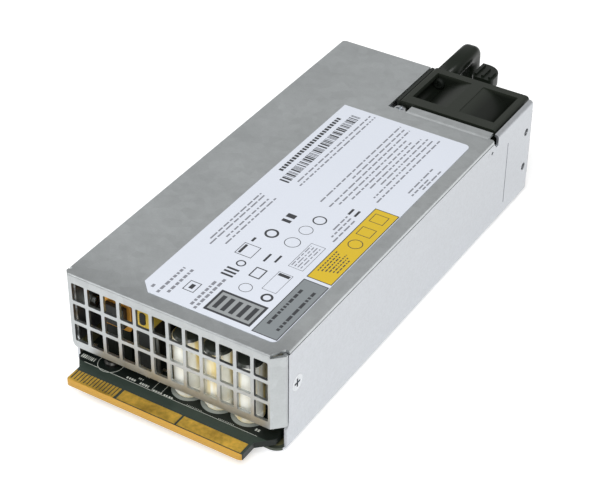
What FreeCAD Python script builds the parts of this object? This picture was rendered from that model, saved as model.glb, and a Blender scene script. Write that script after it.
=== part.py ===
"""Hot swap server power supply.

A sheet-steel case with a vented mating end and a card edge, and at the other end
a fan, a mains inlet, a pull handle and a release lever that locks it in its bay.

Millimetres.  X runs across the width, Y from the mating end to the handle end, Z up.
Shapes are drawn with Y = 0 at the mating face.  save() moves them so that the
origin is the middle of the case's bottom face.
"""
import FreeCAD, Part
import math
import os

from FreeCAD import Rotation, Vector

X_AXIS = Vector(1, 0, 0)
Y_AXIS = Vector(0, 1, 0)
Z_AXIS = Vector(0, 0, 1)

# ---- case -------------------------------------------------------------------
case_width = 83.0
case_height = 40.0
case_length = 177.5
sheet = 1.0                 # steel thickness of cover, tray and panels
sheet_gap = 0.1             # air between two sheets that lie side by side
bend_radius = 1.4           # outside radius of the tray's bends
cover_bend_radius = 0.8     # of the cover's, which are pressed sharper
half_width = case_width / 2
wall_inner = half_width - sheet

seam_drop = 1.5             # cover's flush edge above the seam with the tray wall
seam_gap = 0.35             # how far that seam stands open
lip_depth = 8.0             # how far the cover's inner lip reaches down inside the wall
wall_start = 5.2            # front edge of the tray's right wall
wall_toe = 4.0              # the same edge below the toe, and the left wall's edge
toe_height = 9.6
floor_start = 1.2
floor_corner_radius = 5.0
wall_end = case_length - 1.0    # rear edge of the tray
cover_corner_radius = 2.0   # in plan, at the rear left corner

panel_bottom = 10.0         # lower edge of the vented front panel
right_corner_width = 3.7    # of the slanted strip beside the panel, seen from the front
right_corner_depth = 3.6    # how far back that strip runs
left_corner_width = 1.8
left_corner_depth = 1.9
corner_flange_length = 16.0
corner_flange_low = 10.0
panel_left = left_corner_width - half_width
panel_right = half_width - right_corner_width
panel_corner_radius = 2.0   # at the panel's lower left corner

vent_columns = 12
vent_rows = 3
vent_bar = 1.24             # metal between two columns of windows
vent_rail = 1.35            # metal between two rows
vent_side_left = 1.3        # panel's edge to the first window
vent_side_right = 0.75
vent_top = 3.2              # case's top to the first row
vent_low = 2.8              # panel's lower edge to the last row
vent_corner_radius = 0.5
vent_left = panel_left + vent_side_left
vent_right = panel_right - vent_side_right
vent_pitch_x = (vent_right - vent_left + vent_bar) / vent_columns
vent_pitch_z = (case_height - vent_top - panel_bottom - vent_low + vent_rail) / vent_rows

# ---- fan --------------------------------------------------------------------
fan_size = case_height      # the fan fills the case from floor to cover
fan_depth = 28.0
fan_side_gap = 1.6          # right wall to fan
fan_overhang = 0.9          # fan's outlet face past the case
fan_centre_x = wall_inner - fan_side_gap - fan_size / 2
fan_centre_z = fan_size / 2
fan_start = case_length + fan_overhang - fan_depth
fan_flange_front = 4.6
fan_flange_rear = 3.2
fan_corner_radius = 1.4
fan_wall = 1.4              # frame at its thinnest, outside the bore
fan_bore_radius = fan_size / 2 - fan_wall
fan_hole_inset = 4.0        # screw hole to the frame's side
fan_hole_pitch = fan_size - 2 * fan_hole_inset
fan_hole_radius = 1.6
fan_driver_radius = 2.6     # tunnel between the flanges, wide enough for a screw head
fan_rail = 3.1              # solid edge left beside the pockets in the frame
fan_pocket_depth = 6.6
fan_hub_radius = 10.2
fan_hub_wall = 1.0
fan_hub_inset = 2.4         # from the inlet face to the hub
fan_hub_gap = 3.6           # hub's rim to the base
fan_boss_start = 1.0        # hub's nose to the shaft's boss
fan_boss_length = 2.6
fan_nose_chamfer = 1.4
fan_blades = 7
fan_blade_chord = 15.0
fan_blade_thickness = 1.1
fan_blade_root_pitch = 52.0     # degrees
fan_blade_tip_pitch = 34.0
fan_blade_lean = 9.0        # degrees that the tip leads the root
fan_tip_gap = 0.7
fan_base_radius = 9.6
fan_base_thickness = 3.0
fan_hub_length = fan_depth - fan_base_thickness - fan_hub_inset - fan_hub_gap
fan_struts = 4
fan_strut_width = 2.4
fan_post_gap = 2.0          # bearing post, which stands on the base, to the hub's boss
fan_post_length = (fan_depth - fan_base_thickness - fan_hub_inset - fan_boss_start - fan_boss_length
                   - fan_post_gap)
fan_post_wall = 0.9
fan_shaft_radius = 1.25
fan_shaft_fit = 0.02        # radial running clearance in the bearings
fan_bearing_radius = 3.0
fan_bearing_length = 2.5
fan_magnet_thickness = 1.0
fan_magnet_length = 11.0
fan_magnet_inset = 4.5      # hub's nose to the magnet
fan_stator_radius = 7.6
fan_stator_length = 8.0
fan_stator_inset = 6.5

cutout_start = fan_start - 6.1      # near edge of the opening in the cover over the fan
cutout_left = fan_centre_x - fan_size / 2 - 1.3
cutout_notch = 7.9          # width of the notch for the screw, left of the lip
cutout_lip_start = cutout_left + cutout_notch
cutout_lip_end = half_width - 2.4
cutout_lip_length = 3.7
cutout_lip_root = 0.6       # lip's start in the plate, before the opening
cutout_lip_rise = 0.35      # lip's top above the plate
cutout_lip_slope = 0.7      # length of the joggle that lifts it
rear_rail = 1.7             # width of the tray's flange beside the fan
rear_rail_start = fan_start - 2.4
relief_start = cutout_start + 0.6
relief_depth = 2.2
cutout_screw_x = cutout_left + 3.4
cutout_screw_y = fan_start - 3.2
cutout_tab_drop = 3.4       # case's top to the tab that takes the screw
cutout_screw_head_radius = 2.9
cutout_screw_head_height = 1.9

# ---- holes and fasteners ----------------------------------------------------
side_screw_y = 10.2
side_screw_z = case_height - 16.3
side_screw_head_radius = 3.0
side_screw_radius = 1.5
side_screw_length = 5.2
nut_radius = 3.4
nut_length = 2.4
rivet_y = cutout_start - 0.8
rivet_z = case_height - 5.1
rivet_head_radius = 2.9
rivet_radius = 1.5
rivet_bore_radius = 0.7
rivet_length = 3.0
guard_hole_radius = 1.5
guard_hole_y = case_length - 4.9
guard_hole_spacing = 15.3
guard_hole_middle = 20.55
guard_hole_heights = (guard_hole_middle + guard_hole_spacing / 2,
                      guard_hole_middle - guard_hole_spacing / 2)
crease_y = case_length - 20.9
crease_width = 0.5
crease_low = 5.5
crease_high = case_height - 8.0

# ---- board ------------------------------------------------------------------
board_top = 5.2
board_thickness = 2.4
board_low = board_top - board_thickness
board_side_gap = 1.5
board_half_width = wall_inner - board_side_gap
board_end = cutout_start - 0.3
tongue_left = -35.1
tongue_right = 33.9
tongue_reach = 11.1
tongue_shoulder = 1.6
tongue_shoulder_rise = 5.0
tongue_corner_radius = 1.8
tongue_bevel = 1.0
tongue_bevel_depth = 0.6
contact_thickness = 0.1
contact_inset = 1.4         # tongue's front edge to the power contacts
contact_length = 4.7
contact_start = contact_inset - tongue_reach
contact_end = contact_start + contact_length
signal_count = 14
signal_pitch = 1.27
signal_width = 0.87
signal_first_x = tongue_left + 1.75
signal_bar_start = tongue_bevel - tongue_reach      # plating bar that joins the signal contacts
signal_bar_end = contact_start + 0.3
signal_edge_width = 0.7     # of the strip along the tongue's left edge
power_pads = ((tongue_left + 19.8, 7.6), (8.4, tongue_right - 1.0))
insulator_thickness = 0.4
insulator_side = 0.1        # air between the film's upturned sides and the walls
insulator_rise = 9.5        # top of those sides
standoff_radius = 2.5
standoff_hole_radius = 3.2
board_screw_radius = 1.4
board_screw_head_radius = 2.7
board_screw_head_height = 1.6
board_screw_length = 3.8
screw_inset = 4.4           # board's side to a screw
screw_middle_y = board_end - 75.5
screw_rear_y = board_end - 4.5
screw_right_x = board_half_width - screw_inset
board_screw_places = ((-27.0, 4.2), (screw_right_x, 13.0),
                      (-screw_right_x, screw_middle_y), (screw_right_x, screw_middle_y),
                      (-screw_right_x, screw_rear_y), (screw_right_x, screw_rear_y))

# ---- parts on the board -----------------------------------------------------
seat_gap = 0.2              # leads hold each part this far off the board
seat = board_top + seat_gap
output_cap_radius = 5.15
output_cap_height = 22.8
output_cap_seat_height = 1.0
output_cap_first = (2.2, 7.2)
output_cap_pitch = 11.65
output_cap_columns = 3
output_cap_rows = 2

choke_x = (-30.5, -22.5)
choke_y = (7.5, 24.0)
choke_z = (18.0, 30.0)
choke_turns = 8
choke_turn_gap = 0.35
choke_strip = 1.75          # width of the flat copper
choke_strip_gap = 0.15      # copper to core

drive_x = (-19.3, -13.3)
drive_y = (8.0, 20.0)
drive_coil_low = 22.0
drive_coil_high = 29.6
drive_leg_width = 2.2
drive_leg_height = 4.8
drive_leg_tip = 0.3         # leg past the winding
drive_yoke = 1.5            # thickness of the yoke that carries the leg
drive_clear = 0.15

sense_post_place = (-10.6, 8.0)
sense_post_radius = 0.75
sense_post_high = 20.5

sink_start = 28.0
sink_end = board_end - 80.0
sink_height = case_height - 7.0
sink_width = 6.0
sink_base = 2.0
sink_fin = 1.0
sink_fins = 6
left_sink_x = 2.5 - wall_inner
inner_sink_x = 9.0
transistor_count = 4
transistor_gap = 1.2
transistor_low = 9.0
transistor_high = 24.0
transistor_depth = 4.5

transformer_x = (-28.0, 2.0)
transformer_y = (36.0, sink_end - 4.0)
transformer_height = 28.0
transformer_window_width = 6.5
transformer_window_height = 20.0
transformer_leg = 9.0
winding_reach = 4.6         # winding past the core, fore and aft
winding_clear = 0.3
winding_corner_radius = 4.0

control_x = (board_half_width - screw_inset, board_half_width - screw_inset + 1.6)
control_height = case_height - 10.0
chip_count = 3
chip_depth = 1.3
chip_length = 7.0
chip_low = 12.0
chip_high = 19.0

bulk_cap_radius = 14.0
bulk_cap_length = 46.0
bulk_cap_x = 3.5 + bulk_cap_radius - wall_inner
bulk_cap_start = board_end - 51.0
bulk_cap_chamfer = 1.2

rectifier_length = 19.0
rectifier_depth = 3.8
rectifier_height = 26.0
rectifier_x = 1.6 - wall_inner
rectifier_start = bulk_cap_start - rectifier_length - 1.0

filter_cap_length = 18.0
filter_cap_width = 8.0
filter_cap_height = 14.0
filter_cap_pitch = 12.0
filter_cap_count = 2
filter_cap_x = 8.0
filter_cap_start = board_end - 46.0
fuse_radius = 2.8
fuse_length = 20.0
fuse_x = filter_cap_x + filter_cap_length + 1.2 + fuse_radius
fuse_start = board_end - 44.0

filter_choke_x = 22.0
filter_choke_y = board_end - 13.0
filter_choke_radius = 12.0
filter_choke_depth = 5.0    # radial thickness of the ring
filter_choke_width = 8.0
filter_choke_turns = 5
filter_choke_step = 15.0    # degrees between turns
filter_choke_wire = 1.3
filter_choke_clear = 0.1

# ---- rear end ---------------------------------------------------------------
rear_panel_end = case_length - 0.1
rear_flange_length = 12.0
divider_x = cutout_left - 1.2
divider_low = board_top + 4.0
inlet_centre_x = (divider_x - wall_inner) / 2
inlet_centre_z = case_height / 2 - 0.5
inlet_flange_width = 31.0
inlet_flange_height = 24.6
inlet_flange_thickness = 2.2
inlet_wall = 1.05           # of the inlet's body beside its mouth
inlet_body_height = 20.0
inlet_body_depth = 17.0
inlet_mouth_width = 24.2
inlet_mouth_height = 16.6
inlet_body_width = inlet_mouth_width + 2 * inlet_wall
inlet_mouth_depth = 15.6
inlet_mouth_chamfer = 4.6
inlet_pin_spacing = 14.0
inlet_pin_offset = 2.0
inlet_pin_rise = 4.0        # earth pin above the other two
inlet_pin_width = 2.0
inlet_pin_height = 4.0
inlet_pin_inset = 1.5       # pins' tips below the flange's face
inlet_pin_tail = 4.0        # behind the body
led_x = 4.7 - half_width
led_z = case_height - 5.4
led_radius = 1.5
led_length = 9.8
led_proud = 0.8

guard_thickness = 0.9
guard_start = fan_start + fan_depth
guard_end = guard_start + guard_thickness
guard_inset = 1.3           # guard's edges inside the fan's
guard_corner_radius = 2.5
guard_rings = 4
guard_bar_width = 1.4
guard_centre_radius = 3.2
guard_ring_width = (fan_bore_radius - guard_centre_radius) / guard_rings - guard_bar_width + 0.3
guard_spoke_width = 2.2
guard_flange_length = 9.0
guard_flange_inset = 6.0

# ---- handle and release lever -----------------------------------------------
handle_x = fan_centre_x - fan_hole_pitch / 2
handle_width = 7.0
handle_bar = 5.6
handle_reach = 24.2         # past the guard
handle_top = fan_size - 1.0
handle_bottom = 1.2
handle_foot = 2.4
handle_edge_radius = 2.2
handle_outer_radius = 3.6
handle_inner_radius = 2.4
handle_screw_length = 12.0
handle_screw_hole = 10.0

lever_thickness = 3.6
lever_pivot_x = handle_x + handle_width / 2 + 4.6
lever_pivot_z = 5.2
lever_hub_radius = 3.6
lever_pin_radius = 1.5
lever_pin_fit = 0.05
lever_pin_head = 1.3        # head's radius past the pin's
lever_gap = 2.2             # lever to guard, so that it passes over the screw heads
lever_start = guard_end + lever_gap
lever_end = lever_start + lever_thickness
lever_arm_width = 5.2
lever_tooth_x = fan_centre_x + 15.0
lever_tooth_width = 5.0
lever_tooth_drop = 1.5      # below the case's bottom face
lever_ramp_height = 3.2
spring_radius = 2.4
spring_wire_radius = 0.26
spring_turns = 1.5
spring_pitch = 0.7
spring_leg = 5.0
pad_top = fan_size - 6.0
pad_thickness = 4.4
pad_left = handle_x + handle_width / 2 + 2.6
pad_width = 9.0
pad_right = pad_left + pad_width
pad_near = guard_end + 10.3
pad_far = pad_near + 10.8
pad_far_radius = 6.6
pad_near_radius = 1.8
pad_ribs = 3
pad_rib_height = 0.8
pad_rib_width = 1.0

# ---- label ------------------------------------------------------------------
label_thickness = 0.15
label_width = 52.2
label_right = half_width - 5.5
label_left = label_right - label_width
label_front = 6.0
label_rear = cutout_start - 8.0
label_corner = 4.2
label_corner_radius = 2.0


# ---- drawing helpers --------------------------------------------------------
def box(x, y, z):
    """A block from three (low, high) pairs."""
    return Part.makeBox(x[1] - x[0], y[1] - y[0], z[1] - z[0], Vector(x[0], y[0], z[0]))


def cylinder(centre, axis, radius, length):
    return Part.makeCylinder(radius, length, Vector(*centre), axis)


def tube(centre, axis, outer, inner, length):
    return cylinder(centre, axis, outer, length).cut(cylinder(centre, axis, inner, length))


def prism(points, sweep):
    """A closed outline of (x, y, z) points, swept along a vector."""
    ring = [Vector(*point) for point in points]
    return Part.Face(Part.makePolygon(ring + ring[:1])).extrude(sweep)


def plan(points, z):
    """An outline in plan, from z[0] up to z[1]."""
    return prism([(x, y, z[0]) for x, y in points], Vector(0, 0, z[1] - z[0]))


def section(points, y):
    """An outline across the case, from y[0] to y[1]."""
    return prism([(x, y[0], z) for x, z in points], Vector(0, y[1] - y[0], 0))


def side(points, x):
    """An outline along the case, from x[0] to x[1]."""
    return prism([(x[0], y, z) for y, z in points], Vector(x[1] - x[0], 0, 0))


def straight_edges(shape, direction, near=None):
    """Straight edges that run along a direction, and pass the near test if there is one."""
    found = []
    for edge in shape.Edges:
        if not isinstance(edge.Curve, Part.Line):
            continue
        along = (edge.Vertexes[1].Point - edge.Vertexes[0].Point).normalize()
        if abs(along.dot(direction)) > 0.999 and (near is None or near(edge.CenterOfMass)):
            found.append(edge)
    return found


def rounded(shape, direction, radius, near=None):
    return shape.makeFillet(radius, straight_edges(shape, direction, near))


def fused(shapes):
    whole = shapes[0]
    if len(shapes) > 1:
        whole = whole.multiFuse(shapes[1:])
    return whole.removeSplitter()


def mirrored(shape):
    """The same shape on the other side of the middle plane."""
    return shape.mirror(Vector(0, 0, 0), X_AXIS)


def on_both_sides(shape):
    return [shape, mirrored(shape)]


def pan_screw(centre, axis, head_radius, head_height, shank_radius, shank_length):
    """A pan-head cross-recess screw.  The seat of the head is at centre, the head on the axis side."""
    head = cylinder(centre, axis, head_radius, head_height)
    rim = [edge for edge in head.Edges if isinstance(edge.Curve, Part.Circle)]
    rim = [edge for edge in rim if (edge.Curve.Center - Vector(*centre)).dot(axis) > head_height / 2]
    head = head.makeChamfer(head_height * 0.4, rim)
    shank = cylinder(centre, -axis, shank_radius, shank_length)
    return fused([head, shank]).cut(cross_recess(Vector(*centre) + axis * head_height, axis, head_radius))


def cross_recess(top, axis, head_radius):
    """Two crossed slots that the driver fits."""
    slot_length = head_radius * 1.1
    slot_width = head_radius * 0.26
    slot_depth = head_radius * 0.35
    slot = Part.makeBox(slot_length, slot_width, slot_depth,
                        Vector(-slot_length / 2, -slot_width / 2, -slot_depth))
    cross = slot.fuse(slot.rotated(Vector(0, 0, 0), Z_AXIS, 90))
    cross.Placement = FreeCAD.Placement(top, Rotation(Z_AXIS, axis)).multiply(cross.Placement)
    return cross


def flush_screw(centre, axis, head_radius, shank_radius, length):
    """A countersunk screw whose flat head ends at centre and whose axis points out of the head."""
    cone = Part.makeCone(head_radius, shank_radius, sheet, Vector(*centre), -axis)
    shank = cylinder(centre, -axis, shank_radius, length)
    return fused([cone, shank]).cut(cross_recess(Vector(*centre), axis, head_radius))


# ---- case: cover ------------------------------------------------------------
def vent_hole(column, row):
    """One rounded window of the front panel."""
    left = vent_left + column * vent_pitch_x
    low = panel_bottom + vent_low + row * vent_pitch_z
    hole = box((left, left + vent_pitch_x - vent_bar), (-sheet, 2 * sheet),
               (low, low + vent_pitch_z - vent_rail))
    return rounded(hole, Y_AXIS, vent_corner_radius)


def corner_strip(width, depth, top):
    """The slanted strip at the right front corner and the flange that goes on behind the side wall."""
    inner = wall_inner - sheet_gap
    edge = half_width - width
    outline = [(edge, 0), (half_width, depth), (half_width, depth + sheet),
               (inner, depth + 1.4 * sheet), (inner, corner_flange_length),
               (inner - sheet, corner_flange_length), (inner - sheet, depth + 1.2 * sheet),
               (inner, depth + 0.5 * sheet), (edge - 0.4 * sheet, sheet),
               (edge - sheet, sheet), (edge - sheet, 0)]
    return plan(outline, (corner_flange_low, top))


def side_lip(start, end):
    """The flush edge of the cover and the inner lip that slips behind the tray's wall."""
    inner = wall_inner - sheet_gap
    flush = box((wall_inner, half_width), (start, end), (case_height - seam_drop, case_height))
    lip = box((inner - sheet, inner), (start + sheet, end - 0.5 * sheet),
              (case_height - lip_depth, case_height))
    return flush.fuse(lip)


def corner_cut(width, depth):
    """What is cut off the cover's plate at the right front corner."""
    edge = half_width - width
    end = depth + 1.9 * sheet
    return plan([(edge, -sheet), (edge, sheet), (wall_inner - 0.3, end), (half_width + sheet, end),
                 (half_width + sheet, -sheet)], (0, case_height + sheet))


def cutout_lip():
    """The joggled lip along the near edge of the opening over the fan."""
    start = cutout_start - cutout_lip_root
    end = cutout_start + cutout_lip_length
    top = case_height + cutout_lip_rise
    return side([(start, case_height - sheet), (start, case_height), (start + cutout_lip_slope, top),
                 (end, top), (end, top - sheet)], (cutout_lip_start, cutout_lip_end))


def top_cover():
    plate = box((-half_width, half_width), (0, case_length), (case_height - sheet, case_height))
    lip_end = relief_start + 0.5
    right_lip = side_lip(right_corner_depth + 2 * sheet, lip_end)
    left_lip = mirrored(side_lip(left_corner_depth + 2 * sheet, wall_end))
    shell = fused([plate, right_lip, left_lip])
    shell = rounded(shell, Y_AXIS, cover_bend_radius,
                    lambda p: abs(p.x) > half_width - 0.1 and p.z > case_height - 0.1 and p.y < case_length)
    shell = shell.cut(corner_cut(right_corner_width, right_corner_depth))
    shell = shell.cut(mirrored(corner_cut(left_corner_width, left_corner_depth)))
    front = box((panel_left, panel_right), (0, sheet), (panel_bottom, case_height))
    shell = fused([shell, front])
    shell = rounded(shell, X_AXIS, cover_bend_radius, lambda p: p.y < 0.01 and p.z > case_height - 0.01)
    right_strip = corner_strip(right_corner_width, right_corner_depth, case_height - seam_drop + 0.3)
    left_strip = mirrored(corner_strip(left_corner_width, left_corner_depth, case_height - 0.4))
    shell = fused([shell, right_strip, left_strip])
    radius = panel_corner_radius
    block = box((-half_width - sheet, panel_left + radius), (-sheet, left_corner_depth + 1.3 * sheet),
                (panel_bottom - sheet, panel_bottom + radius))
    post = cylinder((panel_left + radius, -2 * sheet, panel_bottom + radius), Y_AXIS, radius, case_width)
    shell = shell.cut(block.cut(post))
    shell = shell.cut(Part.makeCompound([vent_hole(column, row)
                                         for column in range(vent_columns) for row in range(vent_rows)]))
    opening = box((cutout_left, half_width + sheet), (cutout_start, case_length + sheet),
                  (case_height - lip_depth - sheet, case_height + sheet))
    kept_lip = box((wall_inner - sheet_gap - sheet, half_width), (cutout_start, lip_end),
                   (case_height - lip_depth, case_height - seam_drop))
    shell = shell.cut(opening.cut(kept_lip))
    shell = fused([shell, cutout_lip()])
    for place in ((side_screw_y, side_screw_z), (rivet_y, rivet_z)):
        hole = cylinder((-case_width, place[0], place[1]), X_AXIS, side_screw_radius + 0.05, 2 * case_width)
        shell = shell.cut(hole)
    corner = cover_corner_radius
    block = box((-half_width - sheet, corner - half_width), (case_length - corner, case_length + sheet),
                (0, case_height + sheet))
    post = cylinder((corner - half_width, case_length - corner, 0), Z_AXIS, corner, case_height + sheet)
    return shell.cut(block.cut(post))


# ---- case: tray -------------------------------------------------------------
def tray_wall(right):
    """One side wall.  The right one steps up beside the fan, where the cover is cut away."""
    top = case_height - seam_drop - seam_gap
    if right:
        outline = [(wall_toe, 0), (wall_toe, toe_height - wall_start + wall_toe), (wall_start, toe_height),
                   (wall_start, top), (relief_start, top), (relief_start, top - relief_depth),
                   (rear_rail_start, top - relief_depth), (rear_rail_start, case_height),
                   (wall_end, case_height), (wall_end, 0)]
    else:
        outline = [(wall_toe, 0), (wall_toe, top), (wall_end, top), (wall_end, 0)]
    return side(outline, (wall_inner, half_width))


def base_tray():
    floor = box((-half_width, half_width), (floor_start, wall_end), (0, sheet))
    floor = rounded(floor, Z_AXIS, floor_corner_radius, lambda p: p.y < floor_start + sheet)
    rail = box((half_width - rear_rail, half_width), (rear_rail_start, wall_end),
               (case_height - sheet, case_height))
    tray = fused([floor, tray_wall(True), mirrored(tray_wall(False)), rail])
    tray = rounded(tray, Y_AXIS, bend_radius,
                   lambda p: abs(p.x) > half_width - 0.1 and (p.z < 0.01 or p.z > case_height - 0.01))
    fan_opening = box((cutout_left, half_width - rear_rail), (rear_rail_start, wall_end + sheet),
                      (-sheet, 2 * sheet))
    tray = tray.cut(fan_opening)
    cuts = []
    for y, z, head, shank in ((side_screw_y, side_screw_z, side_screw_head_radius, side_screw_radius),
                              (rivet_y, rivet_z, rivet_head_radius, rivet_radius)):
        cone = Part.makeCone(head + 0.05, shank + 0.05, sheet, Vector(half_width, y, z), -X_AXIS)
        cuts += on_both_sides(cone)
    for height in guard_hole_heights:
        cuts.append(cylinder((wall_inner - sheet, guard_hole_y, height), X_AXIS, guard_hole_radius,
                             3 * sheet))
    crease_depth = 0.25 * sheet
    cuts.append(box((half_width - crease_depth, half_width + sheet), (crease_y, crease_y + crease_width),
                    (crease_low, crease_high)))
    return tray.cut(Part.makeCompound(cuts))


def side_screws():
    screw = flush_screw((half_width, side_screw_y, side_screw_z), X_AXIS, side_screw_head_radius,
                        side_screw_radius, side_screw_length)
    return on_both_sides(screw)


def side_nuts():
    """Clinch nuts on the cover's corner flanges, which take the side screws."""
    face = wall_inner - sheet_gap - sheet
    nut = tube((face, side_screw_y, side_screw_z), -X_AXIS, nut_radius, side_screw_radius, nut_length)
    return on_both_sides(nut)


def side_rivets():
    centre = (half_width, rivet_y, rivet_z)
    cone = Part.makeCone(rivet_head_radius, rivet_radius, sheet, Vector(*centre), -X_AXIS)
    rivet = fused([cone, cylinder(centre, -X_AXIS, rivet_radius, rivet_length)])
    rivet = rivet.cut(cylinder(centre, -X_AXIS, rivet_bore_radius, rivet_length))
    return on_both_sides(rivet)


# ---- board and what carries it ----------------------------------------------
def insulator_sheet():
    """Plastic film between the board and the steel floor, with its sides turned up along the walls."""
    edge = wall_inner - insulator_side
    film = box((-edge, edge), (floor_start + 1.0, board_end + 1.0), (sheet, sheet + insulator_thickness))
    film = rounded(film, Z_AXIS, floor_corner_radius, lambda p: p.y < floor_start + 2.0)
    fold = box((edge - insulator_thickness, edge), (wall_toe + 1.4, board_end + 1.0),
               (sheet, insulator_rise))
    film = fused([film] + on_both_sides(fold))
    for x, y in board_screw_places:
        film = film.cut(cylinder((x, y, 0), Z_AXIS, standoff_hole_radius, board_top))
    return film


def board_standoffs():
    height = board_low - sheet
    posts = []
    for x, y in board_screw_places:
        post = cylinder((x, y, sheet), Z_AXIS, standoff_radius, height)
        posts.append(post.cut(cylinder((x, y, sheet), Z_AXIS, board_screw_radius, height)))
    return posts


def main_board():
    neck = tongue_shoulder - tongue_shoulder_rise
    outline = [(tongue_left, -tongue_reach), (tongue_right, -tongue_reach),
               (tongue_right, neck), (board_half_width, tongue_shoulder), (board_half_width, board_end),
               (-board_half_width, board_end), (-board_half_width, tongue_shoulder), (tongue_left, neck)]
    board = plan(outline, (board_low, board_top))
    board = rounded(board, Z_AXIS, tongue_corner_radius, lambda p: p.y < -tongue_reach + 0.1)
    for height, into in ((board_top, -1), (board_low, 1)):
        bevel = side([(-tongue_reach - 0.1, height), (-tongue_reach + tongue_bevel, height),
                      (-tongue_reach - 0.1, height + into * tongue_bevel_depth)],
                     (tongue_left - 1, tongue_right + 1))
        board = board.cut(bevel)
    for x, y in board_screw_places:
        board = board.cut(cylinder((x, y, board_low), Z_AXIS, board_screw_radius + 0.1, board_thickness))
    return board


def contact_heights():
    """Bottom and top of the gold on the tongue's upper face, then on its lower face."""
    return ((board_top, board_top + contact_thickness), (board_low - contact_thickness, board_low))


def signal_contacts():
    """Narrow contacts, joined at the tongue's front by their plating bar, on both faces."""
    combs = []
    for z in contact_heights():
        left = tongue_left + 0.1
        teeth = [box((left, left + signal_edge_width), (signal_bar_start, contact_end), z)]
        for index in range(signal_count):
            middle = signal_first_x + index * signal_pitch
            teeth.append(box((middle - signal_width / 2, middle + signal_width / 2),
                             (signal_bar_start, contact_end), z))
        bar = box((left, middle + signal_width / 2), (signal_bar_start, signal_bar_end), z)
        combs.append(rounded(fused([bar] + teeth), Z_AXIS, tongue_corner_radius / 3,
                             lambda p: p.x < left + 0.1 and p.y < signal_bar_start + 0.1))
    return combs


def power_contacts():
    return [box(x, (contact_start, contact_end), z) for x in power_pads for z in contact_heights()]


def board_screws():
    return [pan_screw((x, y, board_top), Z_AXIS, board_screw_head_radius, board_screw_head_height,
                      board_screw_radius, board_screw_length) for x, y in board_screw_places]


# ---- parts on the board -----------------------------------------------------
def output_cap(x, y):
    """A can with a rolled groove near its foot and a bevelled shoulder."""
    foot = seat + output_cap_seat_height
    top = foot + output_cap_height
    radius = output_cap_radius
    groove = 0.35
    shoulder = 0.9
    profile = [(0, foot), (radius, foot), (radius, foot + 1.8), (radius - groove, foot + 2.4),
               (radius, foot + 3.0), (radius, top - shoulder), (radius - shoulder, top), (0, top)]
    ring = [Vector(x + r, y, z) for r, z in profile]
    return Part.Face(Part.makePolygon(ring + ring[:1])).revolve(Vector(x, y, 0), Z_AXIS, 360)


def output_cap_places():
    return [(output_cap_first[0] + column * output_cap_pitch, output_cap_first[1] + row * output_cap_pitch)
            for row in range(output_cap_rows) for column in range(output_cap_columns)]


def output_capacitors():
    return [output_cap(x, y) for x, y in output_cap_places()]


def capacitor_seats():
    """Moulded feet under the output capacitors."""
    return [cylinder((x, y, board_top), Z_AXIS, output_cap_radius - 0.6, output_cap_seat_height + seat_gap)
            for x, y in output_cap_places()]


def bulk_capacitor():
    centre = (bulk_cap_x, bulk_cap_start, seat + bulk_cap_radius)
    can = cylinder(centre, Y_AXIS, bulk_cap_radius, bulk_cap_length)
    ends = [edge for edge in can.Edges if isinstance(edge.Curve, Part.Circle)]
    return can.makeChamfer(bulk_cap_chamfer, ends)


# ---- transformer, chokes and the rest of the converter ----------------------
def choke_core():
    """The black core of the output choke, lying across the front of the board."""
    inset = choke_strip + choke_strip_gap + 0.3
    return box(choke_x, (choke_y[0] - 1.6, choke_y[1] + 1.6), (choke_z[0] + inset, choke_z[1] - inset))


def choke_base():
    """The moulded base that carries the choke."""
    return box((choke_x[0] - 0.8, choke_x[1] + 0.8), (choke_y[0] + 0.6, choke_y[1] + 0.6),
               (seat, choke_z[0]))


def choke_winding():
    """Flat copper turns on edge around the choke core, one after the other along Y."""
    turns = []
    pitch = (choke_y[1] - choke_y[0]) / choke_turns
    reach = choke_strip + choke_strip_gap
    for turn in range(choke_turns):
        near = choke_y[0] + turn * pitch
        y = (near, near + pitch - choke_turn_gap)
        outer = box((choke_x[0] - reach, choke_x[1] + reach), y, (choke_z[0] + 0.3, choke_z[1] - 0.3))
        outer = rounded(outer, Y_AXIS, choke_strip)
        bore = box((choke_x[0] - choke_strip_gap, choke_x[1] + choke_strip_gap), y,
                   (choke_z[0] + 0.3 + choke_strip, choke_z[1] - 0.3 - choke_strip))
        turns.append(outer.cut(bore))
    return turns


def drive_leg(extra):
    """The rounded leg of the drive transformer, grown by a clearance on every side."""
    middle_x = sum(drive_x) / 2
    middle_z = (drive_coil_low + drive_coil_high) / 2
    half_x = drive_leg_width / 2 + extra
    half_z = drive_leg_height / 2 + extra
    leg = box((middle_x - half_x, middle_x + half_x),
              (drive_y[0] - drive_leg_tip, drive_y[1] + drive_leg_tip),
              (middle_z - half_z, middle_z + half_z))
    return rounded(leg, Y_AXIS, half_x * 0.9)


def drive_core():
    """Small ferrite core: the block under the winding, the leg through it and the yoke behind."""
    middle_x = sum(drive_x) / 2
    yoke_start = drive_y[1] + drive_leg_tip / 2
    base = box(drive_x, (drive_y[0], yoke_start), (seat, drive_coil_low))
    yoke = box((middle_x - drive_leg_width, middle_x + drive_leg_width),
               (yoke_start, yoke_start + drive_yoke), (seat, drive_coil_high - 1.0))
    return fused([base, yoke, drive_leg(0)])


def drive_winding():
    """The taped winding of the drive transformer, seen end on from the mating end."""
    outer = box(drive_x, drive_y, (drive_coil_low, drive_coil_high))
    outer = rounded(outer, Y_AXIS, 1.2, lambda p: p.z > drive_coil_high - 0.1)
    return outer.cut(drive_leg(drive_clear))


def sense_post():
    """A tinned post soldered upright in the board, for the sense wire."""
    length = sense_post_high - board_top
    post = cylinder((*sense_post_place, board_top), Z_AXIS, sense_post_radius, length)
    return fused([post, cylinder((*sense_post_place, board_top), Z_AXIS, 1.6 * sense_post_radius, 0.8)])


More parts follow.
